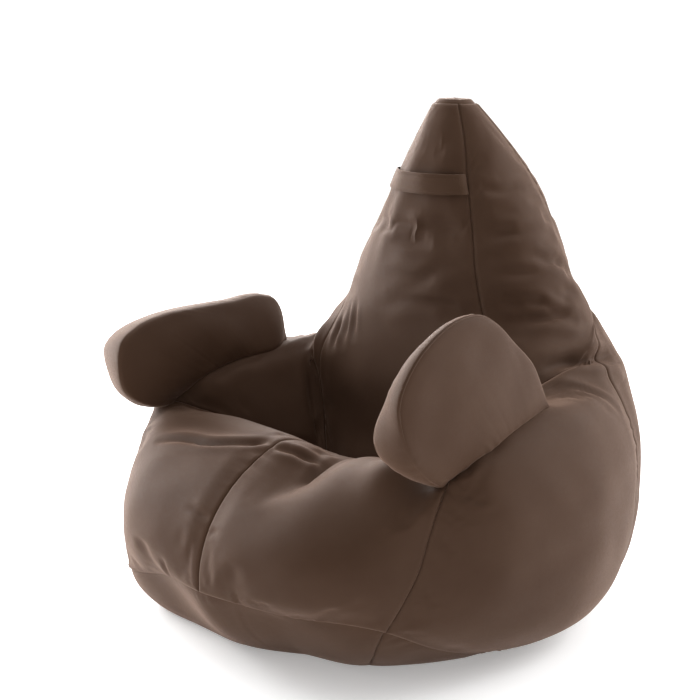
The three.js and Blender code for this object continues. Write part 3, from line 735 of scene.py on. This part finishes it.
def grained(name, tones, roughness, metallic, scale, detail, rough_range, bump):
    """A hard material mottled and scratched by fine noise, between two tones."""
    n = Nodes(name, roughness, metallic)
    place = n.add("ShaderNodeTexCoord").outputs["Object"]
    noise = n.add("ShaderNodeTexNoise", {"Vector": place, "Scale": scale, "Detail": detail}).outputs["Fac"]
    n.put("Base Color", n.mix(noise, rgba(tones[0]), rgba(tones[1])))
    n.put("Roughness", n.ramp(noise, 0.3, 0.7, *rough_range))
    n.put("Normal", n.bump(noise, *bump))
    return n.material


COVER_CLOTH = fabric("coated_cover_cloth", BROWN, BROWN_WORN)
LINER_CLOTH = fabric("liner_cloth", LINING, (0.70, 0.68, 0.64), thread=0.0006, roughness=0.75, sheen=0.1)
STRAP_CLOTH = fabric("strap_cloth", WEBBING, BROWN_WORN, thread=0.0012)
TAPE_CLOTH = fabric("zip_tape_cloth", TAPE, (0.065, 0.05, 0.042), thread=0.0008, sheen=0.1, by_uv=False)
BEADS = beads("polystyrene_beads")
METAL = grained("zip_zinc", ZINC, 0.35, 1.0, 420.0, 4.0, (0.25, 0.48), (0.15, 0.0001))
COIL_NYLON = grained("zip_nylon", COIL, 0.42, 0.0, 900.0, 2.0, (0.34, 0.5), (0.3, 0.0002))


# ---- cover panels ----

def keep(obj, node):
    """Puts a finished piece in the place of a CAD node."""
    obj.name = f"{node}_sewn"
    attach(obj, "chair")
    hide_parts(node)


COVER_INSIDE = COVER - CLOTH * SMOOTH_OUT
BODY_POINTS = COVER[::2, ::2].reshape(-1, 3)
BODY_OUT = grid_normals(COVER, wrap=True)[::2, ::2].reshape(-1, 3)


def gore(name, low, high, first, last):
    columns = np.arange(first * CELLS_PER_GORE, last * CELLS_PER_GORE + 1) % COLUMNS
    pick = np.ix_(np.arange(low, high + 1), columns)
    panel = cloth_mesh(name, pull_back(COVER[pick]), pull_back(COVER_INSIDE[pick]), COVER_CLOTH,
                       edge=SEAM_DISTANCE[pick])
    keep(panel, name)


def cover_panels():
    gore("front_right_gore", 0, CREASE, 0, 1)
    gore("front_left_gore", 0, CREASE, 5, 6)
    gore("backrest_panel", CREASE, TOP, -1, 1)
    gore("side_right_gore", 0, TOP, 1, 2)
    gore("side_left_gore", 0, TOP, 4, 5)
    gore("rear_right_gore", 0, TOP, 2, 3)
    gore("rear_left_gore", 0, TOP, 3, 4)


CAP_FOLD = {"depth": 3.0, "width": 4, "across": (0.5, 0.86, 0)}


def cap_grid():
    """The blunt top: a round patch crowned over its seam, with one pinched fold across."""
    ring = COVER[TOP]
    centre = np.array([0, CONE[-1][1], CONE[-1][0]], float) + SHIFT
    rows = []
    for share in np.linspace(0, 1, 15):
        row = ring + (centre - ring) * share
        crown = CAP_CROWN * smoothstep(share, -0.04, 0.22)
        off = (row - centre) @ np.array(CAP_FOLD["across"])
        fold = CAP_FOLD["depth"] * np.exp(-(off / CAP_FOLD["width"]) ** 2)
        crown = crown - fold * smoothstep(1 - share, 0, 0.3) * share
        row = row.copy()
        row[:, 2] += crown
        rows.append(row)
    rows = np.array(rows)
    rows[-1] = rows[-1].mean(axis=0)
    return rows


def top_cap():
    outer = cap_grid()
    inner = outer - np.array([0, 0, CLOTH])
    edge = np.linalg.norm(outer - outer[0], axis=-1)
    cap = cloth_mesh("top_cap", pull_back(outer, 2 * SEAM_GAP, sides=False),
                     pull_back(inner, 2 * SEAM_GAP, sides=False), COVER_CLOTH, wrap=True, edge=edge)
    keep(cap, "top_cap")


# ---- base ----

CORNER_A = RIBS[2, 0]
CORNER_B = RIBS[5, 0] * np.array([-1, 1, 1])
CENTRE_SHARE = CORNER_A[0] / (CORNER_A[0] - CORNER_B[0])
BASE_CENTRE = np.array([0, CORNER_A[1] + (CORNER_B[1] - CORNER_A[1]) * CENTRE_SHARE, 0]) + SHIFT
ZIP_ALONG = unit((CORNER_A + SHIFT - BASE_CENTRE) * np.array([1, 1, 0]))
ZIP_ACROSS = np.array([-ZIP_ALONG[1], ZIP_ALONG[0], 0])
CONTACT = np.where(MIRROR > 0, np.interp(FOLDED, RIB_ANGLES, BASE_CONTACT[1]),
                   np.interp(FOLDED, RIB_ANGLES, BASE_CONTACT[-1]))


def base_rise(columns, places):
    """The edge of the floor contact, and rows from there round up to the base seam."""
    edge = COVER[0][columns]
    flat_edge = edge * np.array([1, 1, 0])
    contact = BASE_CENTRE + (flat_edge - BASE_CENTRE) * CONTACT[columns][:, None]
    rising = unit(SMOOTH[2][columns] - SMOOTH[0][columns])
    outward = unit(flat_edge - contact)
    reach = np.linalg.norm(edge - contact, axis=-1, keepdims=True)
    rows = []
    for t in places:
        a, b, c, d = cubic_weights(t)
        row = (a * contact + b * edge + c * BASE_ROUND[0] * reach * outward
               + d * BASE_ROUND[1] * reach * rising)
        row[:, 2] = np.maximum(row[:, 2], 0)
        rows.append(row)
    return contact, rows


def base_rows(columns, side):
    """From the zip line out to the floor contact's edge, then round up to the base seam."""
    contact, rise = base_rise(columns, np.linspace(0, 1, 27)[1:])
    along = ((contact - BASE_CENTRE) @ ZIP_ALONG)[:, None]
    window = (ZIP_HALF_WINDOW - SEAM_GAP) * (np.abs(along) < ZIP_HALF_LENGTH + 6) + SEAM_GAP
    line = BASE_CENTRE + along * ZIP_ALONG + side * window * ZIP_ACROSS
    rows = []
    for t in np.linspace(0, 1, 46) ** 1.5:
        row = line + (contact - line) * t
        across = np.abs((row - BASE_CENTRE) @ ZIP_ACROSS)
        valley = smoothstep(-across, -62, -14) * smoothstep(-np.abs(along[:, 0]), -330, -215)
        row[:, 2] = ZIP_VALLEY * valley
        rows.append(row)
    rows += rise
    return np.array(rows)


def base_panel(name, columns, side):
    rows = base_rows(columns, side)
    edge = lengths(rows[::-1])[::-1]  # distance to the base seam
    risen = smoothstep(rows[..., 2], 4, 30)[..., None]
    out = unit(np.array([0, 0, -1.0]) * (1 - risen) + grid_normals(rows) * risen)
    lift = -1.0 * np.exp(-edge / 26)
    lift = lift + 1.2 * waves(rows, 120, 21) * risen[..., 0] * smoothstep(edge, 0, 30)
    x, y = rows[..., 0], rows[..., 1]
    lift = lift + puckers(BASE_PUCKER, edge, x + y, x - y, (31, 33))
    corner = lengths(rows, 1)
    corner = np.minimum(corner, corner[:, -1:] - corner)  # distance to the seam between the halves
    lift = lift - groove(corner, *SEAM) - 1.5 * np.exp(-corner / 22)
    rows = rows + out * (lift * risen[..., 0])[..., None]
    rows[..., 2] = np.maximum(rows[..., 2], 0)
    inner = rows - out * CLOTH
    for grid in (rows, inner):
        grid[-1] += SEAM_GAP * unit(grid[-2] - grid[-1])
    panel = cloth_mesh(name, rows, inner, COVER_CLOTH, edge=edge)
    keep(panel, name)


def base_panels():
    start, end = CELLS_PER_GORE, 4 * CELLS_PER_GORE
    base_panel("base_panel_rear", np.arange(start, end + 1), 1)
    base_panel("base_panel_front", np.arange(end, COLUMNS + start + 1) % COLUMNS, -1)


# ---- liner and beads of the body ----

SKIN_STEP = 4  # the liner takes every fourth row and column of the cover


def body_skin(inset):
    """The whole closed skin of the body, set in from the cover, from base centre to top."""
    columns = np.arange(0, COLUMNS, SKIN_STEP)
    contact, rise = base_rise(columns, np.linspace(0, 0.96, 9)[1:])
    floor = ZIP_VALLEY + 7 + inset / 2
    rows = []
    for t in (0, 0.1, 0.25, 0.4, 0.55, 0.7, 0.85):
        row = BASE_CENTRE + (contact - BASE_CENTRE) * t
        row[:, 2] = floor
        rows.append(row)
    middle = np.array([0, 0, 260.0]) + BASE_CENTRE
    for row in rise:
        row = row + inset * unit(middle - row)
        row[:, 2] = np.maximum(row[:, 2], floor)
        rows.append(row)
    picks = np.arange(3, TOP - 4, SKIN_STEP)
    body = (LINER_SKIN - inset * SMOOTH_OUT)[np.ix_(picks, columns)]
    rows += list(body)
    top = np.array([0, CONE[-1][1], CONE[-1][0] - 2 - inset], float) + SHIFT
    rim = body[-1]
    rows += [rim + (top - rim) * share for share in (0.35, 0.7, 1.0)]
    return np.array(rows)


CORE = np.array([0.0, 60.0, 130.0]) + SHIFT  # a place deep in the filling
TUCK_STEP = 5.0
TUCK_STEPS = 10
TUCK_FLOOR = 60.0  # lower down the liner lies on the base


def tucked_in(skin, depth):
    """The skin with every point that comes too near the cover drawn towards the core."""
    tree = KDTree(len(BODY_POINTS))
    for number, point in enumerate(BODY_POINTS):
        tree.insert(point, number)
    tree.balance()
    points = skin.reshape(-1, 3).copy()
    for _ in range(TUCK_STEPS):
        near = np.array([tree.find(point)[1] for point in points])
        inside = -((points - BODY_POINTS[near]) * BODY_OUT[near]).sum(axis=1)
        shallow = (inside < depth) & (points[:, 2] > TUCK_FLOOR)
        points[shallow] += TUCK_STEP * unit(CORE - points[shallow])
    return points.reshape(skin.shape)


def body_filling():
    outer = body_skin(LINER_INSET)
    soft = 1.2 * waves(outer, 70, 41)
    outward = grid_normals(outer, wrap=True)
    outer = outer - np.abs(soft)[..., None] * outward
    outer = tucked_in(outer, LINER_CLEAR)
    inner = outer - LINER_THICK * outward
    bag = cloth_mesh("liner_bag", outer, inner, LINER_CLOTH, wrap=True)
    keep(bag, "liner_bag")
    count = outer.shape[1]
    rear = count // 2
    closing = np.ix_(np.arange(len(outer) - 24, len(outer) - 12), np.arange(rear - 3, rear + 4))
    strip = [(grid + outward * CLOSURE_LIFT)[closing] for grid in (outer, inner)]
    keep(cloth_mesh("liner_closure", *strip, LINER_CLOTH), "liner_closure")
    fill = outer - BEADS_INSIDE * outward
    beads_body = make_mesh("bead_fill", fill.reshape(-1, 3), quads(len(fill), count, True), BEADS)
    keep(beads_body, "bead_fill")


# ---- arms ----

ARM_TIP = np.array([385, -257, 397], float)
ARMS = {
    "right": {
        "side": 1, "pitch": 23.5, "lean": 0, "swell": 7,
        "crown": [(0, 2), (-34, 44), (-58, 98), (-61, 152), (-48, 203), (2, 243), (60, 260),
                  (126, 260), (190, 234), (222, 196), (250, 140), (276, 88), (297, 30), (304, 0)],
        "half": {"outer": [(0, 9), (0.1, 22), (0.3, 24), (1, 24)],
                 "inner": [(0, 9), (0.08, 36), (0.18, 60), (0.28, 42), (0.4, 27), (1, 26)]},
        "inset": {"outer": [(0, 0), (1, 0)],
                  "inner": [(0, 0), (0.16, 0), (0.25, 36), (0.45, 32), (0.6, 22), (0.8, 14), (1, 0)]},
        "bulge": {"outer": (10, 0.6), "inner": (24, 0.55)},
        "foot": {"outer": [(424, -178, 440), (424, -60, 478)],
                 "inner": [(354, -170, 443), (348, -60, 468)]},
    },
    "left": {
        "side": -1, "pitch": 11, "lean": 18, "swell": 7,
        "crown": [(0, 2), (-40, 9), (-82, 28), (-108, 62), (-104, 112), (-80, 152), (-30, 169),
                  (50, 170), (131, 157), (240, 137), (341, 117), (362, 104), (370, 82), (362, 36),
                  (358, 6)],
        "half": {"outer": [(0, 10), (0.15, 36), (0.8, 38), (1, 30)],
                 "inner": [(0, 10), (0.1, 38), (0.8, 40), (1, 32)]},
        "inset": {"outer": [(0, 0), (0.08, 24), (0.18, 46), (0.27, 36), (0.36, 12), (0.46, 0), (1, 0)],
                  "inner": [(0, 0), (1, 0)]},
        "bulge": {"outer": (26, 0.55), "inner": (13, 0.42)},
        "foot": {"outer": [(424, -178, 440), (430, -50, 476), (414, 40, 500)],
                 "inner": [(354, -178, 445), (346, -68, 472), (332, 20, 478)]},
    },
}
ARM_STATIONS = 110
ARM_END = 0.12  # the share of the crown that bends down to the body at each end
FACE_RISE = 36
STRIP_CELLS = 18
STRIP_FULL = 30  # the half width from which the strip swells fully


def arm_points(arm, u, v, w):
    """Carries points from the arm's own plane (u back, v up, w outwards) to the chair."""
    pitch, lean = math.radians(arm["pitch"]), math.radians(arm["side"] * arm["lean"])
    x = arm["side"] * w
    y = u * math.cos(pitch) - v * math.sin(pitch)
    z = u * math.sin(pitch) + v * math.cos(pitch)
    turned = np.stack([x * math.cos(lean) + z * math.sin(lean), y,
                       z * math.cos(lean) - x * math.sin(lean)], -1)
    return turned + ARM_TIP * np.array([arm["side"], 1, 1]) + SHIFT


def on_body(points, lift=0.0):
    """Drops points onto the body's surface, along the normal of the nearest place on it."""
    flat = points.reshape(-1, 3)
    result = np.empty_like(flat)
    for number, p in enumerate(flat):
        gap = ((BODY_POINTS - p) ** 2).sum(axis=1)
        near = np.argpartition(gap, 6)[:6]
        weight = 1 / (gap[near] + 4)
        weight /= weight.sum()
        n = unit((BODY_OUT[near] * weight[:, None]).sum(axis=0))
        q = (BODY_POINTS[near] * weight[:, None]).sum(axis=0)
        result[number] = p - ((p - q) @ n) * n + lift * n
    return result.reshape(points.shape)


def arm_curves(arm):
    """The foot line and the crown line of each face, as (foot, crown) by face."""
    crown = curve([(u, v, 0) for u, v in arm["crown"]], ARM_STATIONS)
    inward = unit(crown.mean(axis=0) - crown)
    s = np.linspace(0, 1, ARM_STATIONS)
    near_start = (1 - smoothstep(s, 0, ARM_END))[:, None]
    near_end = (1 - smoothstep(1 - s, 0, ARM_END))[:, None]
    mirror = np.array([arm["side"], 1, 1])
    edges = {}
    for label, sign in (("outer", 1), ("inner", -1)):
        half, inset = along_crown(arm["half"][label], s), along_crown(arm["inset"][label], s)
        line = crown + inward * inset[:, None]
        edge = arm_points(arm, line[:, 0], line[:, 1], sign * half)
        ends = on_body(edge[[0, -1]])
        edge = edge + (ends[0] - edge[0]) * near_start + (ends[1] - edge[-1]) * near_end
        middle = [np.array(p) * mirror + SHIFT for p in arm["foot"][label]]
        foot = on_body(curve([edge[0], *middle, edge[-1]], ARM_STATIONS), -0.8)
        foot[0], foot[-1] = edge[0], edge[-1]
        edges[label] = (foot, edge)
    return edges


def along_crown(profile, s):
    """A value along the crown (0 at the front, 1 at the rear), smooth through its knots."""
    knots = np.array(profile, float)
    return hermite(knots[:, 0], knots[:, 1:], knot_slopes(knots[:, 0], knots[:, 1:]), s)[:, 0]


def membrane(flat, power):
    """Height of a film blown out of a flat patch, held on all four sides, at most 1."""
    du = np.linalg.norm(np.diff(flat, axis=1), axis=-1)
    dv = np.linalg.norm(np.diff(flat, axis=0), axis=-1)
    wu = 1 / np.maximum(du, 1.0) ** 2
    wv = 1 / np.maximum(dv, 1.0) ** 2
    left, right = wu[1:-1, :-1], wu[1:-1, 1:]
    below, above = wv[:-1, 1:-1], wv[1:, 1:-1]
    total = left + right + below + above
    h = np.zeros(flat.shape[:2])
    for _ in range(5000):
        h[1:-1, 1:-1] = (left * h[1:-1, :-2] + right * h[1:-1, 2:] + below * h[:-2, 1:-1]
                         + above * h[2:, 1:-1] + 1) / total
    return (h / h.max()) ** power


def facing(grid, direction):
    """The grid with its columns turned, if need be, so that its outside faces the direction."""
    normal = grid_normals(grid)[grid.shape[0] // 2, grid.shape[1] // 2]
    return grid if normal @ direction > 0 else grid[:, ::-1]


def edge_distance(grid):
    rise = lengths(grid)
    return np.minimum(rise, rise[-1] - rise)


def eased(count, strength=0.5):
    t = np.linspace(0, 1, count)
    return t - strength * np.sin(2 * math.pi * t) / (2 * math.pi)


def blown(flat, height, power, seed, sideways):
    """A flat patch blown out by the beads, drawn in and puckered along its seams."""
    out = unit(grid_normals(flat) * 0.4 + sideways * 0.6)
    rise = height * membrane(flat, power)
    grid = flat + out * rise[..., None]
    gap = edge_distance(grid)
    along = lengths(grid, 1)
    lift = puckers(FACE_PUCKER, gap, along, along, (seed, seed + 1))
    lift += 1.8 * waves(grid, 120, seed + 2) * smoothstep(gap, 0, 45)
    lift -= groove(gap, *FACE_SEAM)
    ends = smoothstep(along, 0, 25) * smoothstep(along[:, -1:] - along, 0, 25)
    return grid + out * (lift * ends)[..., None]


def arm_grids(arm):
    edges = arm_curves(arm)
    side = np.array([arm["side"], 0, 0], float)
    grids = {}
    for label, direction in (("outer", side), ("inner", -side)):
        foot, crown = edges[label]
        t = eased(FACE_RISE)[:, None, None]
        flat = facing(foot[None] * (1 - t) + crown[None] * t, direction)
        grids[label] = blown(flat, *arm["bulge"][label], 50 + 7 * arm["side"], direction)
    t = eased(STRIP_CELLS)[:, None, None]
    strip = edges["outer"][1][None] * (1 - t) + edges["inner"][1][None] * t
    strip = facing(strip, np.array([0, 0, 1.0]))
    out = grid_normals(strip)
    gap = edge_distance(strip)
    wide = np.maximum(gap.max(axis=0, keepdims=True), 1e-3)
    swell = arm["swell"] * (1 - (1 - gap / wide) ** 2) * np.minimum(wide / STRIP_FULL, 1)
    along = lengths(strip, 1)
    pucker = 0.9 * ripple(along, 19, 80 + arm["side"]) * np.exp(-gap / 10) * smoothstep(gap, 0, 4)
    grids["strip"] = strip + out * (swell + pucker - groove(gap, *STRIP_SEAM))[..., None]
    return grids, edges


def arm_filling(edges, grids, arm, inset):
    """Closed sections of the arm's inside, each a ring from the outer foot round to it again."""
    side = arm["side"]
    direction = np.array([side, 0, 0], float)

    def stations(grid, wanted):
        first, last = (np.linalg.norm(grid[0, end] - wanted) for end in (0, -1))
        return grid if first < last else grid[:, ::-1]

    outer = stations(grids["outer"], edges["outer"][0][0])
    inner = stations(grids["inner"], edges["inner"][0][0])
    strip = stations(grids["strip"], edges["outer"][1][0])
    t = np.linspace(0, 1, 9)[1:-1, None, None]
    floor = edges["inner"][0][None] * (1 - t) + edges["outer"][0][None] * t
    floor = on_body(floor[:, ::3], 4.0)
    around = np.concatenate([outer[::3, ::3], strip[1:-1:2, ::3], inner[::-3, ::3], floor])
    sections = around.transpose(1, 0, 2)[2:-2]
    centre = sections.mean(axis=1, keepdims=True)
    reach = np.linalg.norm(sections - centre, axis=-1, keepdims=True)
    drawn = centre + (sections - centre) * np.maximum(reach - inset, 0.25 * reach) / reach
    tips = [end.mean(axis=1, keepdims=True) + 0 * end for end in (drawn[:1], drawn[-1:])]
    grid = np.concatenate([tips[0], drawn, tips[1]])
    middle = len(grid) // 2
    normal = grid_normals(grid, wrap=True)[middle, 5]
    return grid if normal @ direction > 0 else grid[:, ::-1]


def build_arm(label):
    arm = ARMS[label]
    grids, edges = arm_grids(arm)
    for part, key in (("outer_face", "outer"), ("boxing_strip", "strip"), ("inner_face", "inner")):
        outer = grids[key]
        inner = outer - CLOTH * grid_normals(outer)
        name = f"arm_{label}_{part}"
        piece = cloth_mesh(name, pull_back(outer, sides=False), pull_back(inner, sides=False),
                           COVER_CLOTH, edge=edge_distance(outer))
        keep(piece, name)
    bag = [arm_filling(edges, grids, arm, inset) for inset in ARM_BAG_INSETS]
    name = f"arm_{label}_bead_bag"
    keep(cloth_mesh(name, *bag, LINER_CLOTH, wrap=True), name)
    name = f"arm_{label}_bead_fill"
    fill = arm_filling(edges, grids, arm, ARM_BEADS_INSET)
    piece = make_mesh(name, fill.reshape(-1, 3), quads(fill.shape[0], fill.shape[1], True), BEADS)
    keep(piece, name)


# ---- carry strap ----

STRAP = {"low": 838, "high": 876, "thick": 2.0, "low_bow": 7, "high_bow": 11,
         "left_turn": -50, "right_turn": 40, "lift": 3.0}
STITCH = {"pitch": 3.6, "long": 2.6, "radius": 0.32, "inset": 3.0}


def strap_grid(out):
    cone = np.array(CONE, float)
    along = np.linspace(-1, 1, 121)
    rows = []
    for t in np.linspace(0, 1, 19):
        z = STRAP["low"] + (STRAP["high"] - STRAP["low"]) * t
        centre, half_width, half_depth = (np.interp(z, cone[:, 0], cone[:, k]) for k in (1, 2, 3))
        bow = STRAP["low_bow"] + (STRAP["high_bow"] - STRAP["low_bow"]) * t
        turn = np.radians(np.interp(along, [-1, 1], [STRAP["left_turn"], STRAP["right_turn"]]))
        hem = 0.5 * (np.abs(t - 0.5) > 0.36)
        wave = 0.8 * ripple(along * 90 + 0 * t, 60, 91) * (1 - along**2)
        away = out + hem * (out > 0) + STRAP["lift"] + bow * (1 - np.abs(along) ** 4)
        away = away + wave - 7.0 * np.abs(along) ** 24
        sideways = (half_width + STRAP["lift"] + out - 5.0 * np.abs(along) ** 24) * np.sin(turn)
        sag = -2.5 * (1 - along**2)
        rows.append(np.stack([sideways, centre - (half_depth + away) * np.cos(turn),
                              np.full_like(turn, z) + sag * (1 - t)], -1))
    return np.array(rows) + SHIFT


def point_at(at, along, line):
    return np.array([np.interp(at, along, line[:, k]) for k in range(3)])


def thread(name, lines, material):
    """Rows of lockstitches: short six-sided bars with rounded ends along each line."""
    points, faces = [], []
    profile = [(-0.5, 0.35), (-0.38, 1.0), (0.38, 1.0), (0.5, 0.35)]
    for line, out in lines:
        along = lengths(line)
        for at in np.arange(STITCH["pitch"], along[-1] - STITCH["pitch"] / 2, STITCH["pitch"]):
            place, ahead = point_at(at, along, line), point_at(at + 1, along, line)
            forward = unit(ahead - place)
            normal = unit(point_at(at, along, out))
            sideways = np.cross(forward, normal)
            first = len(points)
            for shift, size in profile:
                for turn in np.radians(np.arange(0, 360, 60)):
                    ring = math.cos(turn) * normal + math.sin(turn) * sideways
                    points.append(place + forward * shift * STITCH["long"]
                                  + ring * size * STITCH["radius"] + normal * 0.12)
            for band in range(len(profile) - 1):
                for k in range(6):
                    a, b = first + 6 * band + k, first + 6 * band + (k + 1) % 6
                    faces.append((a, a + 6, b + 6, b))
            last = first + 6 * (len(profile) - 1)
            faces.append(tuple(first + k for k in range(6)))
            faces.append(tuple(last + k for k in reversed(range(6))))
    return make_mesh(name, points, faces, material)


def carry_strap():
    outer, inner = strap_grid(STRAP["thick"]), strap_grid(0.0)
    edge = edge_distance(outer)
    strap = cloth_mesh("carry_strap", outer, inner, STRAP_CLOTH, edge=edge)
    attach(strap, "chair")
    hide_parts("carry_strap")
    out = grid_normals(outer)
    inset = 2
    rows = [(outer[row, 4:-4], out[row, 4:-4]) for row in (inset, -1 - inset)]
    rows += [(outer[inset:-inset, column], out[inset:-inset, column]) for column in (6, 11, -7, -12)]
    stitching = thread("strap_stitching", rows, STRAP_CLOTH)
    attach(stitching, "chair")


# ---- zip: the CAD pieces stay, with finished materials ----

def zip_materials():
    looks = {"zip_tape": TAPE_CLOTH, "zip_teeth": COIL_NYLON, "zip_stop": METAL,
             "zip_slider": METAL, "zip_pull_tab": METAL}
    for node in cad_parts:
        for start, material in looks.items():
            if node.startswith(start):
                obj = bpy.data.objects[node]
                for slot in obj.material_slots:
                    slot.material = material


# ---- studio ----

# Softboxes: (name, place, aim, size, power).
LIGHTS = [
    ("overhead_softbox", (-0.6, 0.6, 3.0), (0, 0, 0), (2.4, 2.4), 22),
    ("left_softbox", (-2.9, -0.8, 1.2), (0, 0, 0.4), (1.4, 2.2), 130),
    ("right_softbox", (1.8, 2.5, 1.9), (0, 0, 0.6), (1.4, 2.2), 88),
    ("back_softbox", (-2.4, 1.6, 1.7), (0, 0, 0.6), (2.4, 2.0), 120),
]
FLOOR_HALF = 30.0
FLOOR_LEVEL = -0.0004
BRIGHT_SIDE = (-0.6, 0.7, 0.39)  # the sky is brightest behind and above the chair
BACKDROP = (0.17, 1.3)           # its lowest and highest brightness


def area_light(name, place, aim, size, power):
    light = bpy.data.lights.new(name, "AREA")
    light.shape = "RECTANGLE"
    light.size, light.size_y = size
    light.energy = power
    obj = bpy.data.objects.new(name, light)
    bpy.context.scene.collection.objects.link(obj)
    obj.location = place
    look_at(obj, aim)


def look_at(obj, aim):
    direction = Vector(aim) - Vector(obj.location)
    obj.rotation_euler = direction.to_track_quat("-Z", "Y").to_euler()


def studio():
    scene = bpy.context.scene
    scene.view_settings.view_transform = "Standard"
    world = bpy.data.worlds.new("studio")
    scene.world = world
    world.use_nodes = True
    tree = world.node_tree
    backdrop = tree.nodes["Background"]
    backdrop.inputs["Color"].default_value = (1, 1, 1, 1)
    place = tree.nodes.new("ShaderNodeTexCoord")
    towards = tree.nodes.new("ShaderNodeVectorMath")
    towards.operation = "DOT_PRODUCT"
    towards.inputs[1].default_value = BRIGHT_SIDE
    tree.links.new(place.outputs["Generated"], towards.inputs[0])
    level = tree.nodes.new("ShaderNodeMapRange")
    for socket, value in zip(("From Min", "From Max", "To Min", "To Max"), (-0.9, 0.9, *BACKDROP)):
        level.inputs[socket].default_value = value
    tree.links.new(towards.outputs["Value"], level.inputs["Value"])
    tree.links.new(level.outputs["Result"], backdrop.inputs["Strength"])
    floor = bpy.data.meshes.new("floor")
    corners = ((-1, -1), (1, -1), (1, 1), (-1, 1))
    floor.from_pydata([(x * FLOOR_HALF, y * FLOOR_HALF, FLOOR_LEVEL) for x, y in corners], [],
                      [(0, 1, 2, 3)])
    paper = bpy.data.materials.new("floor_paper")
    paper.use_nodes = True
    shader = paper.node_tree.nodes["Principled BSDF"]
    shader.inputs["Base Color"].default_value = (0.97, 0.97, 0.97, 1)
    shader.inputs["Roughness"].default_value = 0.9
    shader.inputs["Emission Color"].default_value = (1, 1, 1, 1)
    shader.inputs["Emission Strength"].default_value = 0.3
    floor.materials.append(paper)
    obj = bpy.data.objects.new("floor", floor)
    scene.collection.objects.link(obj)
    for light in LIGHTS:
        area_light(*light)


# ---- camera: 45 degrees round from the front, 13 degrees above, 3 m away ----

CAMERA = {"azimuth": 45, "elevation": 13, "distance": 3.0, "lens": 77.14, "aside": 0.06,
          "height": 0.53}


def camera():
    data = bpy.data.cameras.new("camera")
    data.lens = CAMERA["lens"]
    data.sensor_width = 36
    obj = bpy.data.objects.new("camera", data)
    scene = bpy.context.scene
    scene.collection.objects.link(obj)
    round_, up = math.radians(CAMERA["azimuth"]), math.radians(CAMERA["elevation"])
    target = np.array([-math.cos(round_) * CAMERA["aside"], -math.sin(round_) * CAMERA["aside"],
                       CAMERA["height"]]) + SHIFT * MM
    back = np.array([math.sin(round_) * math.cos(up), -math.cos(round_) * math.cos(up), math.sin(up)])
    obj.location = target + back * CAMERA["distance"]
    look_at(obj, target)
    scene.camera = obj


camera()
studio()
cover_panels()
top_cap()
base_panels()
body_filling()
build_arm("right")
build_arm("left")
carry_strap()
zip_materials()
